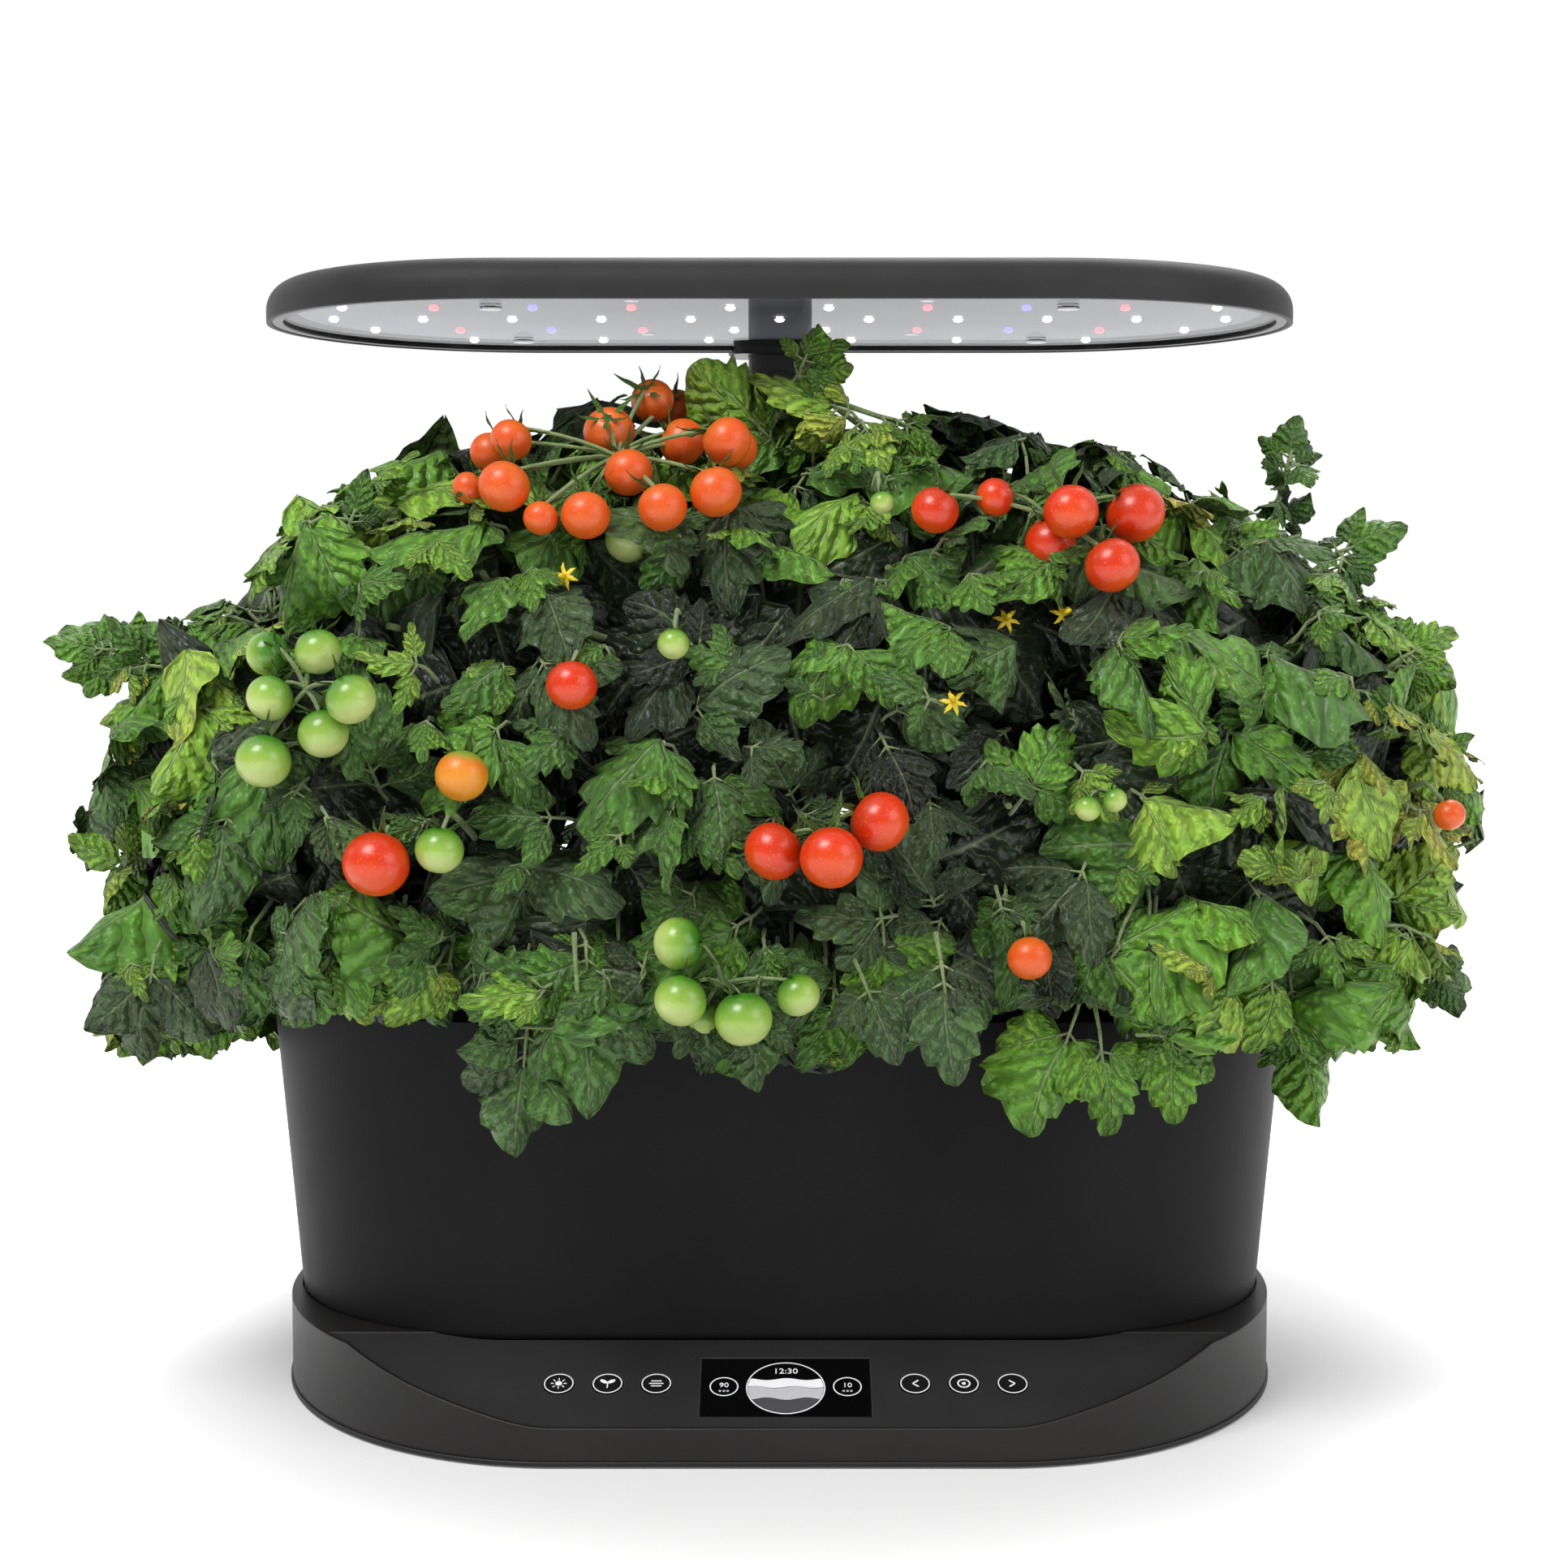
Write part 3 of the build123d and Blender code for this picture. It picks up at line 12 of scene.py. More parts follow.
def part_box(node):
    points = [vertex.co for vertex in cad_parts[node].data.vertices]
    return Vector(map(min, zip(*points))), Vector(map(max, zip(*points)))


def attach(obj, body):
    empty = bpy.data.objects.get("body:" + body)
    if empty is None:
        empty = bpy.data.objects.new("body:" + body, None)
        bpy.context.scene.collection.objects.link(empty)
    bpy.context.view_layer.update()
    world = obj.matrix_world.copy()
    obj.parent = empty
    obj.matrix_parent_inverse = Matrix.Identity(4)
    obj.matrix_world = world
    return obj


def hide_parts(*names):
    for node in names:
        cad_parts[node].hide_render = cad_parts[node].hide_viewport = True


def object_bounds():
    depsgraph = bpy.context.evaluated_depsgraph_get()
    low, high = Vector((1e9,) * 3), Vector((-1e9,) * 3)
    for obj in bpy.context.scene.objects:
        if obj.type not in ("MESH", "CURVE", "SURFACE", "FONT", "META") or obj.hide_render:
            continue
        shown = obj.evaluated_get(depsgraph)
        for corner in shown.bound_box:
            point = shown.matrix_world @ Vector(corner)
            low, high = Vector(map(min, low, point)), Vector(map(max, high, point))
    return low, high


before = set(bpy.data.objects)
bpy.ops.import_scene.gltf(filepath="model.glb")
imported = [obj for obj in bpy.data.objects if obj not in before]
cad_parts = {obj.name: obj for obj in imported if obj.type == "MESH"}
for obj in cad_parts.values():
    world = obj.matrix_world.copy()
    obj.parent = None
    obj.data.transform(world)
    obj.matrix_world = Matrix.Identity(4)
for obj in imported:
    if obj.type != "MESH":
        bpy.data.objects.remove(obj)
cad_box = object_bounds()

# ---- sizes and places
MM = 0.001
UP = Vector((0, 0, 1))

# Camera and stage
CAMERA_PLACE = Vector((1.85, -1107.5, 328.3)) * MM
CAMERA_PITCH = 0.071
CAMERA_LENS = 58.7
SENSOR_WIDTH = 36.0
FLOOR_HALF = 6.0

# Control panel
FASCIA_LOW = Vector((0, -154.0, 15.0)) * MM
FASCIA_SLOPE = math.radians(21.8)
PRINT_LIFT = 0.05 * MM
PRINT_THICK = 0.10 * MM
DISPLAY_X = 2.5 * MM
DISPLAY_LOW = 5.8 * MM
DISPLAY_HEIGHT = 35.1 * MM
KEY_ROW = 25.3 * MM
KEY_PROUD = 0.3 * MM

# Lamps
LED_HALF_THICK = 0.5 * MM
LENS_RADIUS = 2.3 * MM
LENS_DROP = 1.5 * MM

# Plants
DOME_MID_Y = -15.0 * MM
TRIES_PER_CELL = 14
HEM_SPACING = 16.0 * MM
HEM_BAND = 205.0 * MM
HEM_FRONT_Y = -125.0 * MM
PLANT_NODES = ["canopy_far_left", "canopy_left", "canopy_middle", "canopy_right", "canopy_far_right"]
KEY_NODES = ["key_light", "key_plant", "key_tips", "key_left", "key_ok", "key_right"]
TRUSS_REACH = 40.0 * MM
TURNING_FRUIT = Vector((-116.0, -175.0, 265.0)) * MM


# ---- mesh helpers
def to_mesh(name, bm):
    """Turn a bmesh into a mesh."""
    mesh = bpy.data.meshes.new(name)
    bm.to_mesh(mesh)
    bm.free()
    return mesh


def new_piece(name, bm, material, body="base", smooth=True):
    """Turn a bmesh into a linked piece that rides on a body."""
    mesh = to_mesh(name, bm)
    for face in mesh.polygons:
        face.use_smooth = smooth
    mesh.materials.append(material)
    piece = bpy.data.objects.new(name, mesh)
    bpy.context.scene.collection.objects.link(piece)
    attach(piece, body)
    return piece


def append_mesh(bm, mesh, matrix):
    """Add a copy of a template mesh, placed by a matrix, and return its vertices."""
    start = len(bm.verts)
    bm.from_mesh(mesh)
    bm.verts.ensure_lookup_table()
    added = bm.verts[start:]
    bmesh.ops.transform(bm, matrix=matrix, verts=added)
    return added


def basis(x_axis, y_axis, z_axis, place, scale=(1, 1, 1)):
    """Matrix with the given axes, scales and origin."""
    turn = Matrix((x_axis * scale[0], y_axis * scale[1], z_axis * scale[2])).transposed().to_4x4()
    return Matrix.Translation(place) @ turn


def islands(node):
    """Centre and radius of each separate solid of a CAD node."""
    bm = bmesh.new()
    bm.from_mesh(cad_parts[node].data)
    bmesh.ops.remove_doubles(bm, verts=bm.verts, dist=0.001 * MM)
    bm.verts.ensure_lookup_table()
    seen = set()
    found = []
    for first in bm.verts:
        if first.index in seen:
            continue
        stack = [first]
        seen.add(first.index)
        points = []
        while stack:
            vert = stack.pop()
            points.append(vert.co.copy())
            for edge in vert.link_edges:
                other = edge.other_vert(vert)
                if other.index not in seen:
                    seen.add(other.index)
                    stack.append(other)
        low = Vector([min(p[k] for p in points) for k in range(3)])
        high = Vector([max(p[k] for p in points) for k in range(3)])
        found.append(((low + high) / 2, (high.x - low.x) / 2))
    bm.free()
    found.sort(key=lambda item: tuple(round(c, 5) for c in item[0]))
    return found


def add_curve(bm, curve, matrix=Matrix.Identity(4)):
    """Add a curve or text to a bmesh, placed by a matrix, and drop the curve."""
    holder = bpy.data.objects.new(curve.name, curve)
    mesh = bpy.data.meshes.new_from_object(holder)
    mesh.transform(matrix)
    bm.from_mesh(mesh)
    bpy.data.objects.remove(holder)
    bpy.data.curves.remove(curve)
    bpy.data.meshes.remove(mesh)


def tube(bm, points, radii, sides=6):
    """Add a smooth tapering round tube along points to a bmesh."""
    curve = bpy.data.curves.new("tube", "CURVE")
    curve.dimensions = "3D"
    curve.bevel_depth = 1.0
    curve.bevel_resolution = max(0, (sides - 4) // 2)
    curve.use_fill_caps = True
    curve.resolution_u = 3
    spline = curve.splines.new("NURBS")
    spline.points.add(len(points) - 1)
    for spot, place, radius in zip(spline.points, points, radii):
        spot.co = (*place, 1.0)
        spot.radius = radius
    spline.order_u = min(3, len(points))
    spline.use_endpoint_u = True
    add_curve(bm, curve)


# ---- shader helpers
class Graph:
    """Short way to add and join shader nodes."""

    def __init__(self, tree):
        self.tree = tree

    def add(self, kind, **settings):
        node = self.tree.nodes.new(kind)
        for key, value in settings.items():
            setattr(node, key, value)
        return node

    def put(self, node, socket, value):
        """Set a socket's value, or join it when the value is a socket."""
        target = node.inputs[socket]
        if isinstance(value, bpy.types.NodeSocket):
            self.tree.links.new(value, target)
        else:
            target.default_value = value

    def fill(self, node, **values):
        """Set or join a node's inputs, with _ for each space in their names."""
        for title, value in values.items():
            self.put(node, title.replace("_", " "), value)
        return node

    def math(self, operation, *values, clamp=False):
        node = self.add("ShaderNodeMath", operation=operation, use_clamp=clamp)
        for index, value in enumerate(values):
            self.put(node, index, value)
        return node.outputs[0]

    def swing(self, value, reach):
        """A value around 0.5, turned to one around 0 and scaled by its reach."""
        return self.math("MULTIPLY", self.math("SUBTRACT", value, 0.5), reach)

    def noise(self, vector, scale, detail=2.0, roughness=0.5):
        node = self.add("ShaderNodeTexNoise")
        self.fill(node, Vector=vector, Scale=scale, Detail=detail, Roughness=roughness)
        return node.outputs["Fac"]

    def mix(self, share, first, second):
        node = self.add("ShaderNodeMix", data_type="RGBA")
        for index, value in ((0, share), (6, first), (7, second)):
            self.put(node, index, value)
        return node.outputs[2]

    def ramp(self, value, stops):
        node = self.add("ShaderNodeValToRGB")
        self.put(node, 0, value)
        band = node.color_ramp
        while len(band.elements) < len(stops):
            band.elements.new(0.5)
        for element, (place, shade) in zip(band.elements, stops):
            element.position = place
            element.color = shade
        return node.outputs[0]

    def step(self, value, low, high):
        """Smooth 0 to 1 as a value goes from low to high."""
        node = self.add("ShaderNodeMapRange", interpolation_type="SMOOTHSTEP")
        return self.fill(node, Value=value, From_Min=low, From_Max=high).outputs["Result"]

    def attribute(self, name):
        return self.add("ShaderNodeAttribute", attribute_name=name).outputs["Fac"]

    def group(self, tree, **values):
        """Put a node group in, and set or join its inputs."""
        node = self.add("ShaderNodeGroup")
        node.node_tree = tree
        return self.fill(node, **values)

    def bump(self, height, strength, distance, **normal):
        node = self.add("ShaderNodeBump")
        self.fill(node, Height=height, Strength=strength, Distance=distance, **normal)
        return node.outputs["Normal"]


def colour(red, green, blue):
    """Screen colour out of 255 as a linear shader colour."""
    parts = []
    for part in (red, green, blue):
        share = part / 255.0
        parts.append(share / 12.92 if share <= 0.04045 else ((share + 0.055) / 1.055) ** 2.4)
    return (*parts, 1.0)


def scaled(shade, factor):
    """A colour made lighter or darker by a factor."""
    return tuple(min(1.0, part * factor) for part in shade[:3]) + (1.0,)


def new_group(name, inputs, outputs):
    """Node group with named float or vector inputs and outputs."""
    tree = bpy.data.node_groups.new(name, "ShaderNodeTree")
    for title, kind, start in inputs:
        socket = tree.interface.new_socket(title, in_out="INPUT", socket_type=kind)
        if start is not None:
            socket.default_value = start
    for title, kind in outputs:
        tree.interface.new_socket(title, in_out="OUTPUT", socket_type=kind)
    graph = Graph(tree)
    return graph, graph.add("NodeGroupInput").outputs, graph.add("NodeGroupOutput")


FLOAT = "NodeSocketFloat"
VECTOR = "NodeSocketVector"


def make_moulded_grain():
    """Fine spark-eroded grain with slow cloudy changes of shade and gloss."""
    graph, source, result = new_group(
        "moulded_grain",
        [("Vector", VECTOR, None), ("Grain Scale", FLOAT, 1500.0), ("Roughness", FLOAT, 0.5),
         ("Spread", FLOAT, 0.08)],
        [("Height", FLOAT), ("Shade", FLOAT), ("Roughness", FLOAT)],
    )
    vector = source["Vector"]
    cloud = graph.noise(vector, 14.0, 4.0, 0.6)
    smear = graph.noise(vector, 55.0, 3.0, 0.6)
    graph.fill(result, Height=graph.noise(vector, source["Grain Scale"], 2.0, 0.6),
               Shade=graph.step(cloud, 0.3, 0.7),
               Roughness=graph.math("ADD", source["Roughness"], graph.swing(smear, source["Spread"])))
    return graph.tree


def make_soft_edges():
    """Rounded normals and a mask along a moulding's edges."""
    graph, source, result = new_group(
        "soft_edges", [("Gain", FLOAT, 4.0)], [("Normal", VECTOR), ("Edge", FLOAT)])
    bevel = graph.fill(graph.add("ShaderNodeBevel", samples=4), Radius=EDGE_RADIUS).outputs["Normal"]
    dot = graph.add("ShaderNodeVectorMath", operation="DOT_PRODUCT")
    graph.put(dot, 0, bevel)
    graph.put(dot, 1, graph.add("ShaderNodeNewGeometry").outputs["Normal"])
    bend = graph.math("SUBTRACT", 1.0, dot.outputs["Value"])
    graph.fill(result, Edge=graph.math("MULTIPLY", bend, source["Gain"], clamp=True), Normal=bevel)
    return graph.tree


def make_leaf_veins():
    """Midrib, side veins and the quilted skin between them, from a leaf's own UV map."""
    graph, source, result = new_group(
        "leaf_veins",
        [("UV", VECTOR, None), ("Pairs", FLOAT, 5.0)],
        [("Vein", FLOAT), ("Height", FLOAT)],
    )
    parts = graph.fill(graph.add("ShaderNodeSeparateXYZ"), Vector=source["UV"]).outputs
    wobble = graph.noise(source["UV"], 4.0, 2.0)
    side = graph.math("ABSOLUTE", graph.math("SUBTRACT", parts[0], 0.5))
    rib = graph.step(side, 0.04, 0.005)
    along = graph.math("MULTIPLY", parts[1], source["Pairs"])
    swept = graph.math("SUBTRACT", along, graph.math("MULTIPLY", side, 2.8))
    swept = graph.math("ADD", swept, graph.math("MULTIPLY", wobble, 0.9))
    beat = graph.math("PINGPONG", swept, 0.5)
    line = graph.math("MULTIPLY", graph.step(beat, 0.07, 0.0), 0.75)
    cells = graph.fill(graph.add("ShaderNodeTexVoronoi", feature="SMOOTH_F1"), Vector=source["UV"],
                       Scale=11.0, Smoothness=0.4)
    quilt = graph.step(cells.outputs["Distance"], 0.65, 0.05)
    pillow = graph.math("SINE", graph.math("MULTIPLY", beat, math.pi))
    rise = graph.math("ADD", graph.math("MULTIPLY", pillow, 0.62), graph.math("MULTIPLY", quilt, 0.38))
    flat = graph.math("SUBTRACT", 1.0, graph.math("MULTIPLY", rib, 0.8))
    graph.fill(result, Height=graph.math("MULTIPLY", rise, flat), Vein=graph.math("MAXIMUM", rib, line))
    return graph.tree


def new_material(name):
    """Material with an empty graph, its Principled shader and its coordinates."""
    material = bpy.data.materials.new(name)
    material.use_nodes = True
    graph = Graph(material.node_tree)
    material.node_tree.nodes.clear()
    shader = graph.add("ShaderNodeBsdfPrincipled")
    graph.fill(graph.add("ShaderNodeOutputMaterial"), Surface=shader.outputs[0])
    return material, graph, shader, graph.add("ShaderNodeTexCoord").outputs


# ---- finishes
EDGE_RADIUS = 0.9 * MM
GLOSS_SPREAD = 0.08
moulded_grain = make_moulded_grain()
soft_edges = make_soft_edges()
leaf_veins = make_leaf_veins()


def plastic(name, shade, rough, grain, depth, specular=0.5, coat=0.0, edge=0.12, rounded=True):
    """Injection-moulded plastic with its grain, cloudy shade and a painted highlight that lightens its colour
    along its rounded edges.
    """
    material, graph, shader, spot = new_material(name)
    skin = graph.group(moulded_grain, Vector=spot["Object"], Grain_Scale=grain, Roughness=rough,
                       Spread=GLOSS_SPREAD).outputs
    body = graph.mix(skin["Shade"], scaled(shade, 0.88), scaled(shade, 1.16))
    normal = {}
    if rounded:
        edges = graph.group(soft_edges, Gain=4.0).outputs
        # Painted highlight: the colour is lightened along the rounded edges, more with a larger edge setting
        edge_highlight_colour = tuple(min(1.0, part + edge * 0.5) for part in shade[:3]) + (1.0,)
        body = graph.mix(edges["Edge"], body, edge_highlight_colour)
        normal = {"Normal": edges["Normal"]}
    graph.fill(shader, Base_Color=body, Roughness=skin["Roughness"], Specular_IOR_Level=specular,
               Normal=graph.bump(skin["Height"], 0.35, depth * MM, **normal),
               Coat_Weight=coat, Coat_Roughness=0.12)
    return material


def metal(name, shade, rough):
    """Brushed metal with fine lines."""
    material, graph, shader, spot = new_material(name)
    place = graph.fill(graph.add("ShaderNodeMapping"), Scale=(1, 1, 40), Vector=spot["Object"])
    lines = graph.noise(place.outputs["Vector"], 260.0, 3.0, 0.6)
    graph.fill(shader, Base_Color=graph.mix(lines, scaled(shade, 0.82), shade),
               Roughness=graph.math("ADD", graph.swing(lines, 0.16), rough),
               Normal=graph.bump(lines, 0.2, 0.01 * MM), Metallic=1.0)
    return material


def clear(name, tint, rough, haziness=0.04, bend=1.45):
    """Clear moulded sheet with faint haze."""
    material, graph, shader, spot = new_material(name)
    haze = graph.noise(spot["Object"], 30.0, 3.0)
    graph.fill(shader, Base_Color=graph.mix(haze, tint, scaled(tint, 0.96)),
               Roughness=graph.math("MULTIPLY_ADD", haze, haziness, rough),
               Transmission_Weight=1.0, IOR=bend)
    return material


def glowing(name, shade, strength):
    """Lens of a lit lamp, with pale specks."""
    material, graph, shader, spot = new_material(name)
    speck = graph.noise(spot["Object"], 900.0, 1.0)
    lit = graph.mix(graph.math("MULTIPLY", speck, 0.16), shade, (1.0, 1.0, 1.0, 1.0))
    graph.fill(shader, Emission_Color=lit, Base_Color=graph.mix(0.12, (0.0, 0.0, 0.0, 1.0), lit),
               Emission_Strength=strength, Roughness=0.25)
    return material


def leaf_material():
    """Hairy tomato leaf: tone by leaf, pale veins, quilted skin with painted shade in its hollows, and a
    paler underside.
    """
    material, graph, shader, spot = new_material("tomato_leaf")
    tone = graph.attribute("tone")
    veins = graph.group(leaf_veins, UV=spot["UV"], Pairs=5.0).outputs
    patch = graph.noise(spot["Object"], 60.0, 4.0, 0.65)
    fleck = graph.noise(spot["Object"], 420.0, 3.0, 0.7)
    wander = graph.math("ADD", graph.swing(patch, 0.36), graph.swing(fleck, 0.14))
    blade = graph.ramp(graph.math("ADD", tone, wander, clamp=True), [
        (0.00, colour(14, 22, 12)), (0.14, colour(44, 60, 36)), (0.30, colour(74, 104, 56)),
        (0.46, colour(86, 138, 46)), (0.64, colour(116, 176, 46)), (0.82, colour(166, 208, 70)),
        (1.00, colour(220, 206, 76)),
    ])
    pale = graph.mix(0.5, blade, colour(176, 200, 140))
    blade = graph.mix(graph.math("MULTIPLY", veins["Vein"], 0.5), blade, pale)
    # Painted shade: the colour is darkened in the hollows between the quilt's pillows
    hollow_shade = graph.math("SUBTRACT", 1.0, veins["Height"])
    dark = graph.mix(0.70, blade, colour(14, 28, 12))
    blade = graph.mix(graph.math("MULTIPLY", hollow_shade, 0.50), blade, dark)
    behind = graph.add("ShaderNodeNewGeometry").outputs["Backfacing"]
    under = graph.mix(0.50, blade, colour(132, 168, 84))
    height = graph.math("MULTIPLY_ADD", fleck, 0.08, veins["Height"])
    graph.fill(shader, Base_Color=graph.mix(behind, blade, under),
               Roughness=graph.math("MULTIPLY_ADD", fleck, 0.24, 0.30),
               Normal=graph.bump(height, 1.0, 4.0 * MM), Specular_IOR_Level=0.45,
               Sheen_Weight=0.10, Sheen_Roughness=0.45, Sheen_Tint=(0.85, 0.9, 0.7, 1.0))
    return material


def stem_material():
    """Hairy stalk: pale green with grey down and browner stretches."""
    material, graph, shader, spot = new_material("hairy_stalk")
    patch = graph.noise(spot["Object"], 45.0, 4.0, 0.6)
    hair = graph.noise(spot["Object"], 1600.0, 3.0, 0.7)
    skin = graph.ramp(patch, [(0.30, colour(92, 116, 66)), (0.52, colour(124, 148, 84)),
                              (0.74, colour(128, 124, 92))])
    graph.fill(shader, Base_Color=graph.mix(graph.step(hair, 0.55, 0.75), skin, colour(196, 206, 168)),
               Roughness=graph.math("MULTIPLY_ADD", hair, 0.3, 0.5),
               Normal=graph.bump(hair, 0.7, 0.5 * MM), Sheen_Weight=0.5, Sheen_Tint=(0.9, 0.95, 0.8, 1.0))
    return material


def fruit_material(name, flesh, shoulder_shade, blossom_shade, gloss):
    """Cherry tomato skin: flesh with a darker or greener shoulder and fine pale specks."""
    material, graph, shader, spot = new_material(name)
    blotch = graph.noise(spot["Object"], 90.0, 4.0, 0.6)
    ragged = graph.math("ADD", graph.attribute("shoulder"), graph.swing(blotch, 0.35))
    skin = graph.ramp(ragged, [(0.10, blossom_shade), (0.42, flesh), (0.88, shoulder_shade)])
    amber = graph.ramp(ragged, [(0.30, colour(232, 148, 30)), (0.62, colour(220, 120, 20)),
                                (0.86, colour(120, 150, 40))])
    skin = graph.mix(graph.attribute("turning"), skin, amber)
    speck = graph.noise(spot["Object"], 1300.0, 2.0, 0.6)
    paler = graph.mix(0.35, skin, (1.0, 0.85, 0.6, 1.0))
    skin = graph.mix(graph.math("MULTIPLY", graph.step(speck, 0.60, 0.72), 0.5), skin, paler)
    graph.fill(shader, Base_Color=skin, Roughness=graph.math("MULTIPLY_ADD", blotch, 0.10, gloss),
               Normal=graph.bump(speck, 0.12, 0.05 * MM), Subsurface_Weight=0.08,
               Subsurface_Radius=(0.004, 0.0015, 0.0008), Coat_Weight=0.12, Coat_Roughness=0.16)
    return material


def print_material(name, shade, glow):
    """Screen or key print with a faint unevenness and a glow: the lit screen's own light on screen prints,
    painted light on key prints and petals.
    """
    material, graph, shader, spot = new_material(name)
    ink = graph.mix(graph.noise(spot["Object"], 2500.0, 1.0), scaled(shade, 0.86), shade)
    graph.fill(shader, Base_Color=ink, Emission_Color=ink, Emission_Strength=glow, Roughness=0.45)
    return material


def finish_nodes(material, *names):
    """Give CAD nodes their material."""
    for name in names:
        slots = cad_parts[name].data.materials
        slots.clear()
        slots.append(material)
    return material


# Plastics: shade, roughness, grain scale, grain depth in mm, specular level, other settings and nodes; the
# edge setting is the strength of the painted edge highlight
PLASTICS = [
    ("base_plastic", (34, 32, 31), 0.42, 1300, 0.03, 0.28, {"edge": 0.14}, ["base_shell"]),
    ("pan_plastic", (26, 25, 25), 0.5, 1200, 0.03, 0.35, {}, ["base_pan", "power_inlet"]),
    ("fascia_plastic", (46, 45, 45), 0.36, 1600, 0.03, 0.6, {"edge": 0.14}, ["control_fascia"]),
    ("key_plastic", (27, 26, 26), 0.28, 1800, 0.01, 0.5, {"rounded": False}, KEY_NODES),
    ("display_black", (4, 4, 5), 0.07, 400, 0.002, 0.6, {"coat": 0.6, "edge": 0.02},
     ["display_window", "display_module"]),
    ("bowl_plastic", (31, 31, 32), 0.52, 1500, 0.02, 0.09, {"edge": 0.20}, ["bowl"]),
    ("deck_plastic", (44, 44, 46), 0.45, 1400, 0.03, 0.4, {}, ["grow_deck", "grow_baskets", "pod_spacers"]),
    ("lid_plastic", (32, 32, 33), 0.52, 1500, 0.02, 0.09, {"edge": 0.20}, ["fill_lid"]),
    ("column_plastic", (40, 39, 39), 0.40, 1400, 0.02, 0.4, {},
     ["mast_column", "column_collar", "middle_collar"]),
    ("tube_plastic", (54, 50, 48), 0.32, 1300, 0.01, 0.5, {}, ["mast_middle_tube", "mast_top_tube"]),
    ("hood_plastic", (50, 50, 51), 0.50, 1500, 0.02, 0.12, {"edge": 0.16}, ["hood_shell"]),
    ("bezel_plastic", (38, 37, 37), 0.38, 1500, 0.02, 0.4, {}, ["hood_bezel", "hood_neck"]),
    ("pump_plastic", (28, 28, 30), 0.5, 1200, 0.03, 0.5, {}, ["pump_housing", "pump_cover", "float_post"]),
    ("pale_plastic", (190, 190, 184), 0.45, 1200, 0.02, 0.5, {}, ["middle_glide", "top_glide", "pump_rotor"]),
    ("orange_foam", (214, 122, 50), 0.7, 500, 0.08, 0.5, {}, ["level_float"]),
    ("board_white", (140, 139, 147), 0.7, 700, 0.004, 0.1, {"rounded": False}, ["led_board"]),
    ("board_green", (24, 78, 48), 0.35, 900, 0.01, 0.5, {}, ["control_board", "power_board"]),
    ("foot_rubber", (24, 24, 24), 0.8, 900, 0.05, 0.3, {}, ["rubber_feet"]),
    ("filter_foam", (28, 28, 28), 0.95, 420, 0.4, 0.2, {}, ["pump_filter"]),
    ("peat_sponge", (62, 46, 34), 0.95, 500, 0.5, 0.2, {}, ["grow_sponges"]),
]
for title, shade, rough, grain, depth, specular, others, nodes in PLASTICS:
    finish_nodes(plastic(title, colour(*shade), rough, grain, depth, specular, **others), *nodes)
finish_nodes(metal("screw_steel", colour(178, 178, 182), 0.3),
             "base_screws", "column_screws", "hood_screws", "fill_lid_pin")
finish_nodes(metal("sink_metal", colour(200, 200, 204), 0.38), "heat_sink")
finish_nodes(clear("cover_clear", (0.96, 0.97, 1.0, 1.0), 0.0, 0.01, 1.03), "light_cover")
finish_nodes(clear("peg_clear", (0.98, 0.98, 1.0, 1.0), 0.02), "cover_pegs")
finish_nodes(clear("pipe_clear", (0.86, 0.9, 0.9, 1.0), 0.15), "pump_riser")
led_finishes = {
    "leds_white": glowing("led_white", (1.0, 0.97, 0.90, 1.0), 2.4),
    "leds_red": glowing("led_red", (1.0, 0.07, 0.10, 1.0), 1.3),
    "leds_blue": glowing("led_blue", (0.16, 0.10, 1.0, 1.0), 1.5),
}
# The white print's glow is the screen's own light on the screen and painted light on the key rings
white_print = print_material("white_print", colour(226, 226, 228), 0.35)
grey_print = print_material("grey_print", colour(186, 186, 190), 0.25)
slate_print = print_material("slate_print", colour(76, 76, 80), 0.15)
# The petals' faint glow is painted light, since flowers give none
petal_yellow = print_material("petal_yellow", colour(236, 206, 40), 0.05)
leaf_green = finish_nodes(leaf_material(), "leafy_sprigs", *PLANT_NODES)
stalk_green = finish_nodes(stem_material(), "plant_stems")
fruit_finishes = {
    "tomatoes_red": fruit_material(
        "skin_red", colour(222, 52, 0), colour(198, 50, 0), colour(230, 76, 6), 0.28),
    "tomatoes_orange": fruit_material(
        "skin_orange", colour(226, 84, 10), colour(216, 98, 14), colour(234, 100, 24), 0.36),
    "tomatoes_green": fruit_material(
        "skin_green", colour(150, 186, 74), colour(58, 124, 22), colour(198, 214, 130), 0.24),
}
for node_name, finish in (led_finishes | fruit_finishes).items():
    finish_nodes(finish, node_name)


# ---- control panel prints
def fascia_matrix(x, along, lift):
    """Place on the fascia: along its slope from the front, and lifted off its face."""
    turn = Matrix.Rotation(FASCIA_SLOPE, 4, "X")
    return Matrix.Translation(FASCIA_LOW) @ turn @ Matrix.Translation((x, along, lift))


def flat_ring(bm, radius, width, matrix, segments=64):
    """Thin printed ring."""
    made = bmesh.ops.create_circle(bm, cap_ends=True, radius=radius, segments=segments, matrix=matrix)
    face = made["verts"][0].link_faces[0]
    bmesh.ops.inset_individual(bm, faces=[face], thickness=width)
    bmesh.ops.delete(bm, geom=[face], context="FACES_ONLY")


def flat_disc(bm, radius, matrix, segments=32):
    bmesh.ops.create_circle(bm, cap_ends=True, radius=radius, segments=segments, matrix=matrix)


def flat_bar(bm, width, height, matrix):
    """Thin printed rectangle."""
    size = Matrix.Diagonal((width, height, 1, 1))
    bmesh.ops.create_grid(bm, x_segments=1, y_segments=1, size=0.5, matrix=matrix @ size)


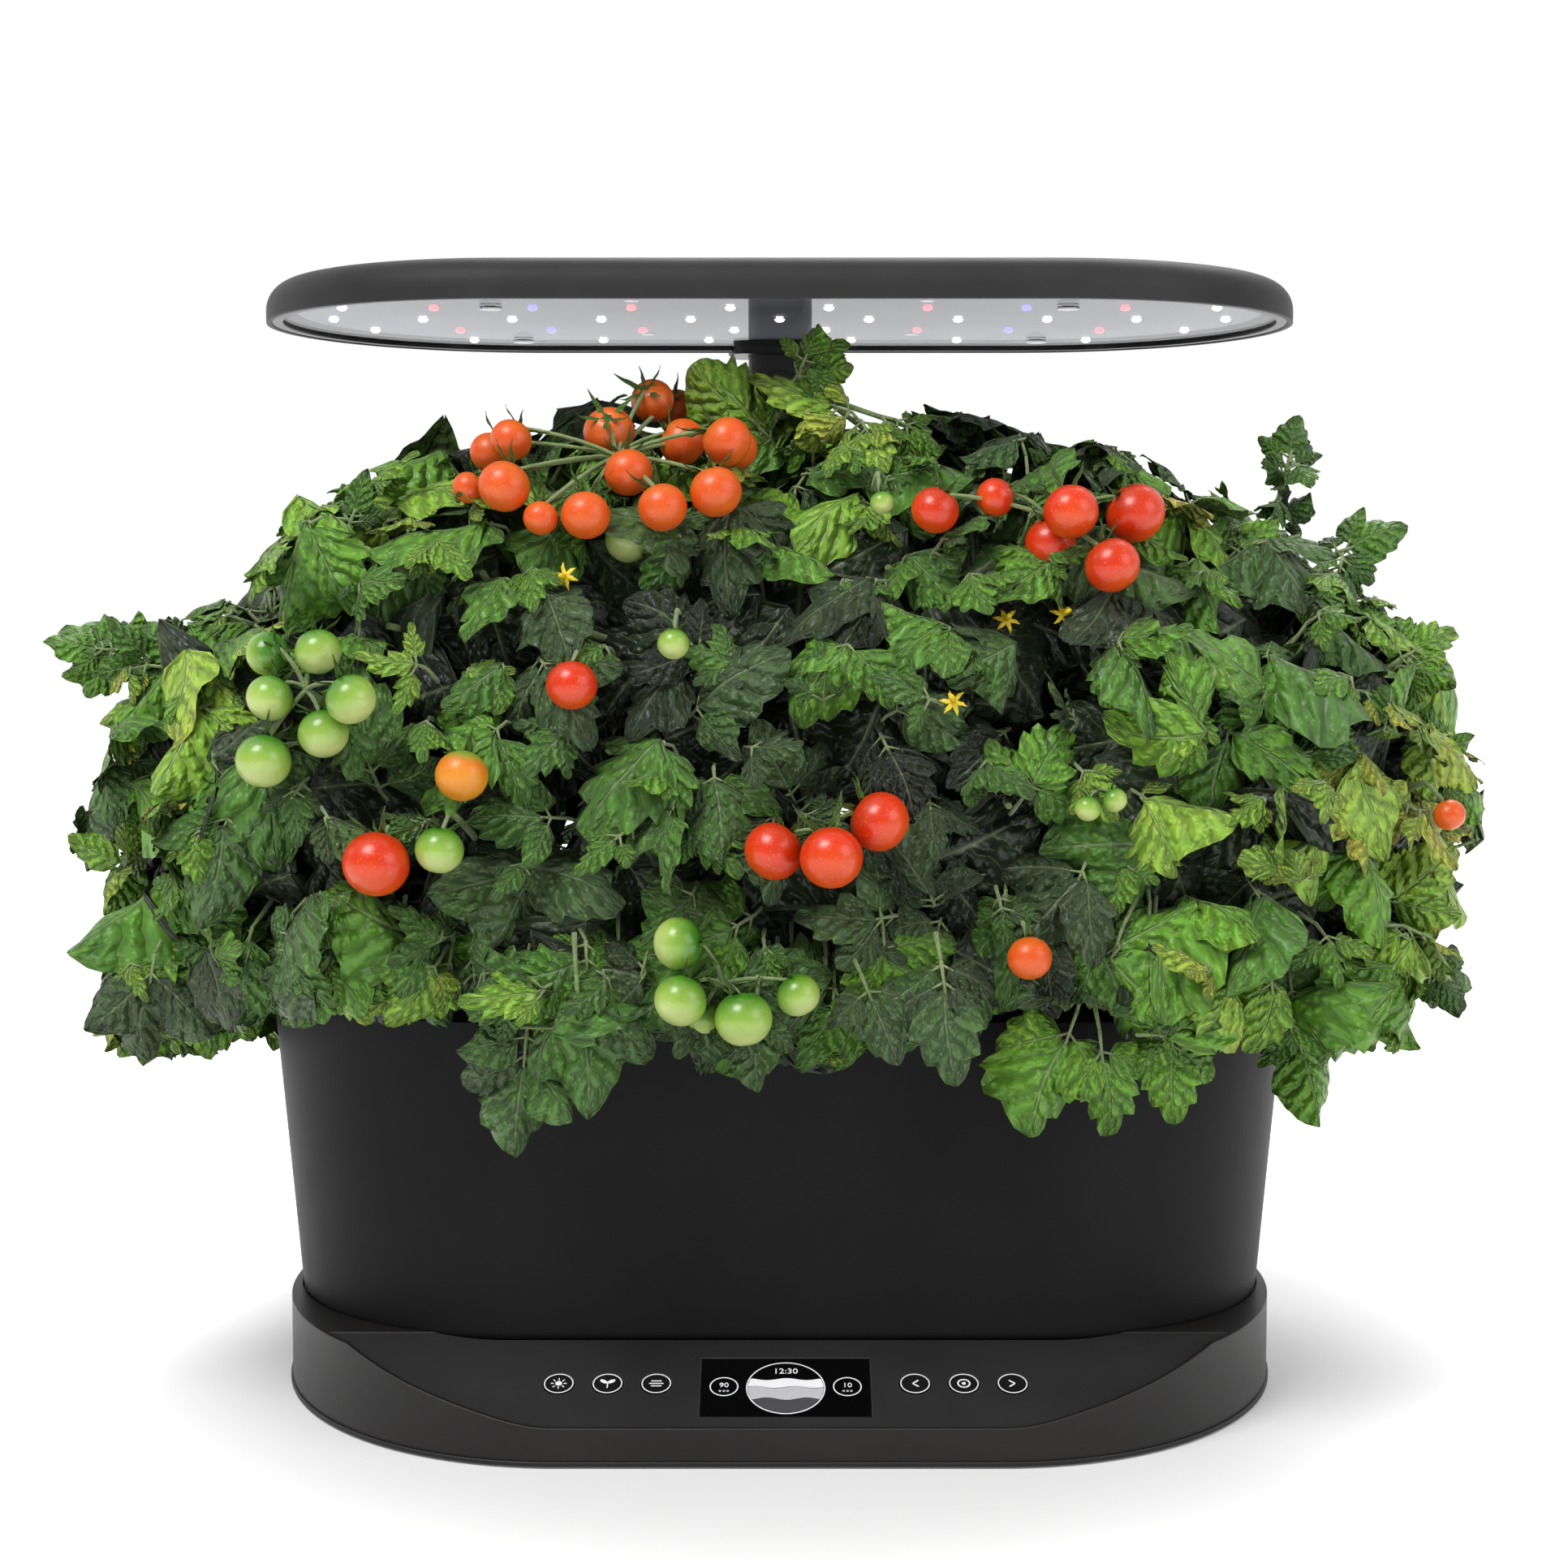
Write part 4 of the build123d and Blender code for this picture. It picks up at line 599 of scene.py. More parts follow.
def raise_print(bm):
    """Give flat prints their ink thickness, along their own face."""
    lift = Vector((0, -math.sin(FASCIA_SLOPE), math.cos(FASCIA_SLOPE))) * PRINT_THICK
    made = bmesh.ops.extrude_face_region(bm, geom=list(bm.faces))
    moved = [item for item in made["geom"] if isinstance(item, bmesh.types.BMVert)]
    bmesh.ops.translate(bm, vec=lift, verts=moved)
    bmesh.ops.recalc_face_normals(bm, faces=list(bm.faces))


def numeral(bm, text, size, matrix):
    """Plain numerals, centred on a place."""
    words = bpy.data.curves.new("numeral", "FONT")
    words.body = text
    words.size = size
    words.align_x = "CENTER"
    words.align_y = "CENTER"
    words.resolution_u = 3
    add_curve(bm, words, matrix)


def wave_line(across, level, swing, radius):
    """Height of a wavy water line inside a round gauge."""
    bulge = math.sqrt(max(radius ** 2 - across ** 2, 0.0))
    wave = level + swing * math.sin(across / radius * 6.0 + level / radius * 4.0)
    return min(max(wave, -bulge), bulge)


def wave_band(bm, radius, low, high, swing, matrix, steps=36):
    """Band between two wavy water lines inside a round gauge."""
    made = bmesh.ops.create_grid(bm, x_segments=steps, y_segments=1, size=1.0)
    for vert in made["verts"]:
        across = vert.co.x * radius * 0.995
        level = high if vert.co.y > 0 else low
        vert.co = matrix @ Vector((across, wave_line(across, level, swing, radius), 0))
    bmesh.ops.remove_doubles(bm, verts=made["verts"], dist=0.001 * MM)


def make_screen_print():
    """Round water gauge with two small ring gauges and plain numerals."""
    middle = DISPLAY_LOW + DISPLAY_HEIGHT / 2
    white, grey, slate = (bmesh.new() for _ in range(3))

    def at(x, y):
        return fascia_matrix(DISPLAY_X + x * MM, middle + y * MM, PRINT_LIFT)

    flat_ring(white, 15.4 * MM, 0.45 * MM, at(0, -0.4), 96)
    wave_band(white, 14.8 * MM, 0.6 * MM, 5.2 * MM, 0.6 * MM, at(0, -0.4))
    wave_band(grey, 14.8 * MM, -6.4 * MM, 0.3 * MM, 0.7 * MM, at(0, -0.4))
    wave_band(slate, 14.8 * MM, -15.0 * MM, -6.8 * MM, 0.6 * MM, at(0, -0.4))
    for side in (-1, 1):
        flat_ring(white, 5.6 * MM, 0.45 * MM, at(side * 24.0, 0.4))
        numeral(white, "90" if side < 0 else "10", 3.8 * MM, at(side * 24.0, 1.2))
        for step in (-1, 0, 1):
            flat_bar(grey, 0.9 * MM, 0.9 * MM, at(side * 24.0 + step * 1.5, -2.2))
    numeral(white, "12:30", 4.4 * MM, at(0, 9.6))
    for shade, bm, ink in (("white", white, white_print), ("grey", grey, grey_print),
                           ("slate", slate, slate_print)):
        raise_print(bm)
        piece = new_piece("screen_gauge_" + shade, bm, ink, smooth=False)


def chevron(bm, side, at):
    """Arrow head that points to a side."""
    for turn in (-1, 1):
        arm = at @ Matrix.Translation((-side * 0.2 * MM, turn * 0.95 * MM, 0))
        arm = arm @ Matrix.Rotation(-side * turn * math.radians(40), 4, "Z")
        flat_bar(bm, 2.9 * MM, 0.6 * MM, arm)


def make_key_print(name):
    """White ring and a plain sign on one key."""
    low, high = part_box(name)
    x = (low.x + high.x) / 2
    at = fascia_matrix(x, KEY_ROW, KEY_PROUD + PRINT_LIFT)
    bm = bmesh.new()
    flat_ring(bm, 5.75 * MM, 0.42 * MM, at)
    if name == "key_light":
        flat_disc(bm, 1.3 * MM, at)
        for step in range(8):
            ray = at @ Matrix.Rotation(step * math.pi / 4, 4, "Z") @ Matrix.Translation((2.5 * MM, 0, 0))
            flat_bar(bm, 1.2 * MM, 0.4 * MM, ray)
    elif name == "key_plant":
        flat_bar(bm, 0.45 * MM, 3.6 * MM, at @ Matrix.Translation((0, -0.9 * MM, 0)))
        for side in (-1, 1):
            leaf = at @ Matrix.Translation((side * 1.5 * MM, 1.2 * MM, 0))
            leaf = leaf @ Matrix.Rotation(side * math.radians(35), 4, "Z") @ Matrix.Diagonal((1.0, 0.5, 1, 1))
            flat_disc(bm, 1.7 * MM, leaf, 20)
    elif name == "key_tips":
        for row in (-1.5, 0.0, 1.5):
            flat_bar(bm, (5.6 - abs(row)) * MM, 0.5 * MM, at @ Matrix.Translation((0, row * MM, 0)))
    elif name == "key_ok":
        flat_ring(bm, 2.6 * MM, 0.6 * MM, at, 40)
        flat_disc(bm, 0.8 * MM, at, 20)
    else:
        chevron(bm, -1 if name == "key_left" else 1, at)
    raise_print(bm)
    piece = new_piece(name + "_print", bm, white_print, name, smooth=False)


make_screen_print()
for key_name in KEY_NODES:
    make_key_print(key_name)


# ---- lamp lenses
def make_lenses(node, finish):
    """Small domed lens under each lamp of a node."""
    bm = bmesh.new()
    for centre, radius in islands(node):
        place = Matrix.Translation((centre.x, centre.y, centre.z - LED_HALF_THICK))
        place = place @ Matrix.Diagonal((1, 1, LENS_DROP / LENS_RADIUS, 1))
        made = bmesh.ops.create_uvsphere(bm, u_segments=12, v_segments=8, radius=LENS_RADIUS, matrix=place)
        for vert in made["verts"]:
            vert.co.z = min(vert.co.z, centre.z - LED_HALF_THICK)
    bmesh.ops.remove_doubles(bm, verts=list(bm.verts), dist=0.01 * MM)
    piece = new_piece(node.replace("leds", "lenses"), bm, finish, "lamp_hood")


for led_node, led_finish in led_finishes.items():
    make_lenses(led_node, led_finish)


# ---- leaf templates
LEAF_ROWS = 12
LOBE_PATTERN = [-1.0, 0.25, 1.0]


def leaflet_template(seed, width=0.34, lobes=0.08, fold=0.10, droop=0.22, curl=0.18, twist=0.3, across=4):
    """Lobed leaflet one unit long, from its stalk at the origin to its tip along +Y."""
    draw = random.Random(seed)
    bm = bmesh.new()
    sheet = bm.loops.layers.uv.new("UVMap")
    bmesh.ops.create_grid(bm, x_segments=across, y_segments=LEAF_ROWS, size=1.0, calc_uvs=False)
    lean = draw.uniform(-0.07, 0.07)
    jag = [draw.uniform(0.7, 1.25) for _ in range(LEAF_ROWS + 1)]
    phase = draw.uniform(0, 6)
    places = {}
    for vert in bm.verts:
        side = vert.co.x
        along = (vert.co.y + 1) / 2
        places[vert] = (side, along)
        row = round(along * LEAF_ROWS)
        inner = 0 < row < LEAF_ROWS
        reach = width * math.sin(math.pi * along ** 0.62) ** 0.75 if inner else 0.012
        lobe = lobes * jag[row] * LOBE_PATTERN[row % 3] * abs(side) ** 3
        x = side * reach * (1 + lobe) + lean * math.sin(math.pi * along)
        y = along + (lobes * 0.28 * LOBE_PATTERN[row % 3] * abs(side) ** 3 if inner else 0)
        z = -fold * abs(side) * reach * 2.0 - curl * side ** 2 * reach * 2.0
        z += 0.045 * math.sin(along * 12 + phase) * abs(side) ** 1.5
        z += 0.018 * math.sin(side * 4 + along * 9 + phase * 2)
        angle = twist * (along - 0.2)
        x, z = x * math.cos(angle) - z * math.sin(angle), x * math.sin(angle) + z * math.cos(angle)
        vert.co = (x, y - droop * 0.35 * along ** 2, z - droop * along ** 2)
    for face in bm.faces:
        face.smooth = True
        for loop in face.loops:
            side, along = places[loop.vert]
            loop[sheet].uv = (0.5 + side / 2, along)
    bmesh.ops.recalc_face_normals(bm, faces=list(bm.faces))
    if sum(face.normal.z for face in bm.faces) < 0:
        bmesh.ops.reverse_faces(bm, faces=list(bm.faces))
    return to_mesh("leaflet", bm)


broad_leaflets = [
    leaflet_template(seed, width=0.32 + 0.035 * (seed % 3), lobes=0.03 + 0.035 * (seed % 4),
                     fold=0.02 + 0.07 * (seed % 3), droop=0.10 + 0.15 * (seed % 4),
                     curl=0.10 + 0.13 * (seed % 3), twist=0.65 * (seed % 3 - 1))
    for seed in range(1, 13)
]
young_leaflets = [
    leaflet_template(seed, width=0.27 + 0.03 * (seed % 3), lobes=0.14 + 0.05 * (seed % 2),
                     fold=0.16 + 0.08 * (seed % 3), droop=0.05 + 0.12 * (seed % 3),
                     curl=0.02, twist=0.4 * (seed % 3 - 1))
    for seed in range(21, 28)
]
sepal = leaflet_template(50, width=0.11, lobes=0.02, fold=0.3, droop=-0.40, curl=0.0, twist=0.3, across=2)
petal = leaflet_template(51, width=0.15, lobes=0.02, fold=0.3, droop=0.25, curl=0.0, twist=0.2, across=2)
stalk_bm = bmesh.new()
bmesh.ops.create_cone(stalk_bm, cap_ends=True, segments=5, radius1=1.0, radius2=0.6, depth=1.0,
                      matrix=Matrix.Translation((0, 0, 0.5)))
stalk_mesh = to_mesh("stalk", stalk_bm)

# ---- room that leaves keep clear
bowl_low, bowl_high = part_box("bowl")
lid_low, lid_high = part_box("fill_lid")
column_low, column_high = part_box("mast_column")
hood_low, hood_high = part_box("hood_shell")
bowl_rim_radius = (bowl_high.y - bowl_low.y) / 2
bowl_straight = (bowl_high.x - bowl_low.x) / 2 - bowl_rim_radius
bowl_mid_y = (bowl_high.y + bowl_low.y) / 2
lid_reach = lid_high.z + (lid_high.y - lid_low.y) + 6 * MM
room = [cad_box[0] + Vector((15, -14, 0)) * MM, cad_box[1] + Vector((-13, 14, 20)) * MM]

# Room that leaves leave around the mast, the hood, the fill lid and the bowl
MAST_ROOM = 3 * MM
HOOD_ROOM = 4 * MM
LID_ROOM_X = 4 * MM
LID_ROOM_Y = 5 * MM
RIM_ROOM = 3 * MM
BOWL_ROOM = 1.5 * MM
BOWL_TAPER = 0.088
BASE_ROOM_Z = 52 * MM

# Lower hem of the leaf mass: place across, and height above the table
HEM = [(-330, 156), (-262, 148), (-225, 154), (-196, 163), (-118, 163), (-106, 150), (-70, 156),
       (-30, 142), (36, 146), (74, 154), (90, 167), (122, 166), (134, 152), (214, 148), (258, 156),
       (330, 160)]

# Sides of the leaf mass: height above the table, and reach to the left and to the right
SIDES = [(134, -272, 246), (161, -280, 256), (189, -280, 266), (220, -288, 300), (240, -291, 304),
         (285, -276, 288), (318, -252, 272), (332, -238, 256), (353, -208, 222), (374, -190, 184),
         (400, -150, 130), (430, -120, 120)]


def between(rows, value):
    """Rest of a row of numbers, found between the rows that a value lies between."""
    for low, high in zip(rows, rows[1:]):
        if value <= high[0]:
            share = (value - low[0]) / (high[0] - low[0])
            return [first + (last - first) * share for first, last in zip(low[1:], high[1:])]
    return rows[-1][1:]


def hem_height(p):
    """Height of the leaf mass's lower edge at a place: as listed at the front, and lower behind it."""
    listed = between(HEM, p.x / MM)[0]
    depth = (p.y - CAMERA_PLACE.y) / (HEM_FRONT_Y - CAMERA_PLACE.y)
    return CAMERA_PLACE.z - (CAMERA_PLACE.z - listed * MM) * depth


def past_sides(p):
    """True where a place lies beyond the sides of the leaf mass."""
    left, right = between(SIDES, min(max(p.z / MM, SIDES[0][0]), SIDES[-1][0]))
    return not left < p.x / MM < right


def inside(p, low, high, room_x, room_y):
    """True where a place lies over a box's footprint, widened by some room."""
    return low.x - room_x < p.x < high.x + room_x and low.y - room_y < p.y < high.y + room_y


def in_bowl(p):
    """True where a place lies in the bowl, on its wall or down by the base."""
    past = max(abs(p.x) - bowl_straight, 0.0)
    radius = bowl_rim_radius - BOWL_TAPER * max(bowl_high.z - p.z, 0.0)
    return p.z < BASE_ROOM_Z or math.hypot(past, p.y - bowl_mid_y) < radius + BOWL_ROOM


def blocked(p, reaching=False):
    """True where a leaf would cut the mast, hood, bowl or the fill lid's swing, or leave its room."""
    if not all(room[0][k] < p[k] < room[1][k] for k in range(3)):
        return True
    if not reaching and (p.z < hem_height(p) or past_sides(p)):
        return True
    if abs(p.x) < column_high.x + MAST_ROOM and column_low.y - MAST_ROOM < p.y < column_high.y + MAST_ROOM:
        return True
    if p.z > hood_low.z - HOOD_ROOM and inside(p, hood_low, hood_high, 0.0, 0.0):
        return True
    if p.z < lid_reach and inside(p, lid_low, lid_high, LID_ROOM_X, LID_ROOM_Y):
        return True
    return p.z < bowl_high.z + RIM_ROOM and in_bowl(p)


# ---- leaf building
class Foliage:
    """Leaf blades and stalks of one plant or sprig, gathered in two bmeshes."""

    def __init__(self, name, seed, reaching=False):
        self.name = name
        self.draw = random.Random(seed)
        self.blades = bmesh.new()
        self.tone = self.blades.verts.layers.float.new("tone")
        self.stalks = bmesh.new()
        self.reaching = reaching

    def leaflet(self, place, direction, normal, length, tone, width=1.0, kind=broad_leaflets):
        """Add one leaflet, unless it would lie in a blocked place."""
        direction = direction.normalized()
        side = direction.cross(normal).normalized()
        normal = side.cross(direction).normalized()
        template = self.draw.choice(kind)
        matrix = basis(side, direction, normal, place, (length * width, length, length))
        if any(blocked(matrix @ vert.co, self.reaching) for vert in template.vertices):
            return False
        added = append_mesh(self.blades, template, matrix)
        for vert in added:
            vert[self.tone] = min(1.0, max(0.0, tone))
        return True

    def stalk(self, start, end, thick):
        """Add one short straight stalk."""
        run = end - start
        if run.length < 1e-6 or blocked(start, self.reaching) or blocked(end, self.reaching):
            return
        along = run.normalized()
        side = along.orthogonal().normalized()
        append_mesh(self.stalks, stalk_mesh,
                    basis(side, along.cross(side), along, start, (thick, thick, run.length)))

    def compound(self, root, tip, direction, normal, size, tone, pairs=2, kind=broad_leaflets):
        """Add a compound leaf: a bent stalk from root to tip, a leaflet there and pairs below it."""
        draw = self.draw
        direction = direction.normalized()
        side = direction.cross(normal).normalized()
        normal = side.cross(direction).normalized()
        if not self.leaflet(tip, direction, normal, size * draw.uniform(0.9, 1.15), tone,
                            draw.uniform(0.85, 1.15), kind):
            return False
        knee = root.lerp(tip, 0.55) + normal * size * 0.12
        self.stalk(root, knee, 1.1 * MM)
        self.stalk(knee, tip + direction * 2 * MM, 0.8 * MM)
        for pair in range(pairs):
            place = tip.lerp(knee, 0.22 + 0.62 * pair)
            for hand in (-1, 1):
                angle = math.radians(draw.uniform(42, 82))
                way = direction * math.cos(angle) + side * hand * math.sin(angle)
                way += normal * draw.uniform(-0.35, 0.25) - UP * draw.uniform(0.0, 0.25)
                tilt = normal + side * hand * draw.uniform(-0.15, 0.6) - direction * draw.uniform(-0.2, 0.3)
                length = size * draw.uniform(0.55, 0.85) * (1 - 0.16 * pair)
                start = place + way.normalized() * 3 * MM
                if self.leaflet(start, way, tilt, length, tone + draw.uniform(-0.09, 0.09),
                                draw.uniform(0.85, 1.15), kind):
                    self.stalk(place, start + way.normalized() * 2 * MM, 0.6 * MM)
        return True

    def finish(self, node):
        """Make the blades and stalks into pieces that stand for a CAD node."""
        blades = new_piece(self.name + "_leaves", self.blades, leaf_green)
        stalks = new_piece(self.name + "_stalks", self.stalks, stalk_green)
        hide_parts(node)


def dome_surface():
    """Outward faces of the CAD leaf masses: corners, normal and area of each, and a ray tree of the masses.
    """
    bm = bmesh.new()
    for node in PLANT_NODES:
        bm.from_mesh(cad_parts[node].data)
    bmesh.ops.triangulate(bm, faces=list(bm.faces))
    tree = BVHTree.FromBMesh(bm)
    found = []
    for face in bm.faces:
        centre = face.calc_center_median()
        normal = face.normal
        outward = Vector((centre.x * 0.45, centre.y - DOME_MID_Y, max(centre.z - 0.2, 0.0)))
        if normal.dot(outward) <= 0 or normal.z < -0.4:
            continue
        if tree.ray_cast(centre + normal * 0.05 * MM, normal, 0.05)[0] is None:
            found.append(([vert.co.copy() for vert in face.verts], normal.copy(), face.calc_area()))
    bm.free()
    return found, tree


def spread_points(faces, spacing, seed):
    """Points spread over the faces, none closer together than the spacing."""
    draw = random.Random(seed)
    total = sum(area for _, _, area in faces)
    bounds = list(itertools.accumulate(area for _, _, area in faces))
    cells = {}
    chosen = []
    for _ in range(int(TRIES_PER_CELL * total / spacing ** 2)):
        pick = bisect.bisect_left(bounds, draw.uniform(0, total), 0, len(bounds) - 1)
        corners, normal, _ = faces[pick]
        u, v = sorted((draw.random(), draw.random()))
        point = corners[0] * u + corners[1] * (v - u) + corners[2] * (1 - v)
        key = tuple(int(math.floor(c / spacing)) for c in point)
        around = itertools.product(*((k - 1, k, k + 1) for k in key))
        if any((other - point).length < spacing for cell in around for other in cells.get(cell, ())):
            continue
        cells.setdefault(key, []).append(point)
        chosen.append((point, normal))
    return chosen


# Leaf tones: where they are darkest across, how far the sides are, and where the bright right-hand side,
# the crown, painted brighter for the light that falls on it from above, and the bright hem begin
DARK_X = -10 * MM
SIDE_REACH = 270 * MM
RIGHT_X = 130 * MM
CROWN_X = 40 * MM
CROWN_REACH = 150 * MM
CROWN_Z = 320 * MM
CROWN_RISE = 80 * MM
LOW_Z = 185 * MM


def tone_at(point, draw):
    """Leaf tone by place: dark blue-green in the middle, brighter to the sides, and painted lighter at the
    top for the light that falls on the crown.
    """
    base = 0.32 + 0.30 * min(1.0, abs(point.x - DARK_X) / SIDE_REACH) ** 2.4
    if point.x > RIGHT_X:
        base += 0.04
    cluster = noise.noise(point * 14.0) * 0.36 + noise.noise(point * 37.0) * 0.16
    crown = max(0.2, 1 - abs(point.x - CROWN_X) / CROWN_REACH)
    # Painted highlight: leaves at the crown are made lighter for the light from above
    top = 0.26 * max(0.0, (point.z - CROWN_Z) / CROWN_RISE) * crown
    low = 0.06 if point.z < LOW_Z else 0.0
    return min(0.88, max(0.02, base + cluster + top + low + draw.uniform(-0.16, 0.18)))


def leaf_direction(normal, draw, swing, lift):
    """Way a leaf lies on the mass: mostly down the slope, swung to a side and lifted off it."""
    down = -UP + normal * normal.z
    slope = down.normalized() if down.length > 0.25 else Vector((draw.uniform(-1, 1), -1, 0)).normalized()
    side = normal.cross(slope).normalized()
    turn = draw.gauss(0, swing)
    return (slope * math.cos(turn) + side * math.sin(turn) + normal * lift).normalized()


def jitter(draw, reach):
    return Vector([draw.uniform(-reach, reach) for _ in range(3)])


dome_faces, dome_tree = dome_surface()
plants = [Foliage(name.replace("canopy", "plant"), 100 + index) for index, name in enumerate(PLANT_NODES)]
PLANT_EDGES = [-165 * MM, -55 * MM, 55 * MM, 165 * MM]


def scatter(spacing, seed, faces=dome_faces):
    """Points spread over the leaf mass, each with its normal, its plant and that plant's draws."""
    for point, normal in spread_points(faces, spacing, seed):
        plant = plants[bisect.bisect_left(PLANT_EDGES, point.x)]
        yield point, normal, plant, plant.draw


# Leaves whose stalks come up from inside and whose leaflets lie on the mass, and small young ones between
# them. Ranges that a leaf draws from are in mm, or in shares of its size.
LEAF_LAYERS = [
    {"spacing": 27, "seed": 11, "size": (27, 50), "brighter": None, "tries": 4, "swing": 1.3,
     "lift": (-0.1, 0.75), "tip_depth": (-17, -2), "tip_back": 0.45, "root_depth": (24, 38),
     "root_back": (4, 16), "upward": 0.55, "uneven": 0.7, "pairs": (1, 1, 2), "kind": broad_leaflets},
    {"spacing": 30, "seed": 12, "size": (15, 27), "brighter": (0.04, 0.2), "tries": 3, "swing": 1.2,
     "lift": (0.1, 0.8), "tip_depth": (-12, -1), "tip_back": 0.4, "root_depth": (18, 30),
     "root_back": (2, 10), "upward": 0.6, "uneven": 0.6, "pairs": (1, 2), "kind": young_leaflets},
]
for layer in LEAF_LAYERS:
    for point, normal, plant, draw in scatter(layer["spacing"] * MM, layer["seed"]):
        size = draw.uniform(*layer["size"]) * MM
        tone = tone_at(point, draw)
        if layer["brighter"]:
            tone += draw.uniform(*layer["brighter"])
        for attempt in range(layer["tries"]):
            lift = draw.uniform(*layer["lift"])
            direction = leaf_direction(normal, draw, layer["swing"] + 0.3 * attempt, lift)
            tip = point + normal * draw.uniform(*layer["tip_depth"]) * MM
            tip -= direction * size * layer["tip_back"]
            root = tip - normal * draw.uniform(*layer["root_depth"]) * MM
            root -= direction * draw.uniform(*layer["root_back"]) * MM
            face_way = normal + UP * layer["upward"] + jitter(draw, layer["uneven"])
            if plant.compound(root, tip, direction, face_way, size, tone, draw.choice(layer["pairs"]),
                              layer["kind"]):
                break

# Inner leaves painted dark for the shade inside the mass, which close the view into it: spacing, least and
# greatest depth, and seed
SHADED_LAYERS = [(22, 22, 40, 13), (30, 48, 74, 15)]
for spacing, shallow, deep, seed in SHADED_LAYERS:
    for point, normal, plant, draw in scatter(spacing * MM, seed):
        length = draw.uniform(42, 60) * MM
        # Their dark tone is painted shade, made lighter above 345 mm so that they don't show dark at the top
        # of the mass
        tone = draw.uniform(0.0, 0.14) + 0.30 * max(0.0, (point.z - 345 * MM) / (55 * MM))
        for attempt in range(4):
            direction = leaf_direction(normal, draw, 1.0 + attempt, -0.1)
            place = point - normal * draw.uniform(shallow, deep) * MM - direction * length * 0.5
            if plant.leaflet(place, direction, normal + jitter(draw, 0.4), length, tone,
                             draw.uniform(1.0, 1.3)):
                break

# Leaves of the hem, which hang over the bowl's rim all the way round
hem_faces = [face for face in dome_faces if face[0][0].z < HEM_BAND]
for point, normal, plant, draw in scatter(HEM_SPACING, 14, hem_faces):
    size = draw.uniform(24, 42) * MM
    tone = tone_at(point, draw)
    out = Vector((normal.x, normal.y, 0)).normalized()
    for attempt in range(6):
        turn = draw.gauss(0, 0.8)
        direction = -UP * math.cos(turn) + out.cross(UP) * math.sin(turn) + out * draw.uniform(-0.05, 0.35)
        tip = Vector((point.x, point.y, 0)) - out * draw.uniform(8, 26) * MM
        tip.z = hem_height(tip) + size * (0.80 + 0.14 * attempt)
        root = tip + UP * 20 * MM - out * 14 * MM
        if plant.compound(root, tip, direction, out + UP * 0.35 + jitter(draw, 0.35), size, tone,
                          draw.choice((1, 2))):
            break

for plant, node_name in zip(plants, PLANT_NODES):
    plant.finish(node_name)


# ---- stems and reaching sprigs
def organic(points, draw, wander):
    """A stem's line through its points, with a small wander between them."""
    line = [points[0]]
    for first, second in zip(points, points[1:]):
        middle = first.lerp(second, 0.5)
        line.append(middle + jitter(draw, 1) * wander)
        line.append(second)
    return line


stem_draw = random.Random(31)
stems = bmesh.new()
for centre, radius in islands("grow_sponges"):
    foot = Vector((centre.x, centre.y, centre.z + 20 * MM))
    fork = Vector((centre.x, centre.y * 0.6 + DOME_MID_Y * 0.4, 255 * MM))
    tube(stems, organic([foot, foot.lerp(fork, 0.5), fork], stem_draw, 3 * MM),
         [4.2 * MM, 4.0 * MM, 3.8 * MM, 3.5 * MM, 3.2 * MM], 8)
    for branch in range(9):
        angle = branch * 2 * math.pi / 9 + stem_draw.uniform(-0.2, 0.2)
        way = Vector((math.cos(angle) * 0.55, math.sin(angle), stem_draw.uniform(-0.1, 0.9))).normalized()
        hit = dome_tree.ray_cast(fork, way, 0.6)[0]
        if hit is None:
            continue
        end = fork.lerp(hit, 0.94)
        middle = fork.lerp(end, 0.5) + UP * 8 * MM
        if blocked(end) or blocked(middle):
            continue
        tube(stems, organic([fork, middle, end], stem_draw, 4 * MM),
             [2.6 * MM, 2.4 * MM, 2.1 * MM, 1.8 * MM, 1.4 * MM])
stem_piece = new_piece("plant_branches", stems, stalk_green)
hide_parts("plant_stems")


def vec(x, y, z):
    return Vector((x, y, z)) * MM


# Sprigs that reach out of the leaf mass: line of the stalk, leaf size, tone and leaves below its tip
SPRIGS = [
    ([(-214, -70, 276), (-244, -72, 296), (-270, -68, 309)], 33, 0.56, 3),
    ([(-224, -82, 290), (-240, -84, 306)], 25, 0.50, 1),
    ([(196, -60, 344), (204, -62, 372), (208, -60, 388)], 21, 0.46, 4),
    ([(204, -60, 330), (222, -62, 345), (232, -62, 350)], 26, 0.52, 3),
    ([(238, -70, 292), (250, -72, 304), (256, -72, 308)], 25, 0.70, 2),
    ([(246, -80, 248), (264, -78, 256), (272, -76, 255)], 26, 0.64, 3),
    ([(222, -90, 186), (246, -90, 184), (264, -88, 182)], 24, 0.46, 2),
    ([(64, -60, 372), (44, -70, 392), (22, -78, 406)], 36, 0.80, 2),
    ([(-2, -60, 388), (-8, -70, 398)], 34, 0.74, 1),
    ([(-6, -66, 396), (6, -74, 416), (12, -76, 422)], 22, 0.62, 1),
    ([(-12, -66, 420), (14, -72, 412), (52, -78, 398)], 18, 0.64, 3),
    ([(-226, -84, 192), (-242, -86, 180), (-248, -86, 174)], 30, 0.66, 3),
    ([(-140, -124, 338), (-160, -118, 350), (-172, -112, 354)], 26, 0.40, 2),
]

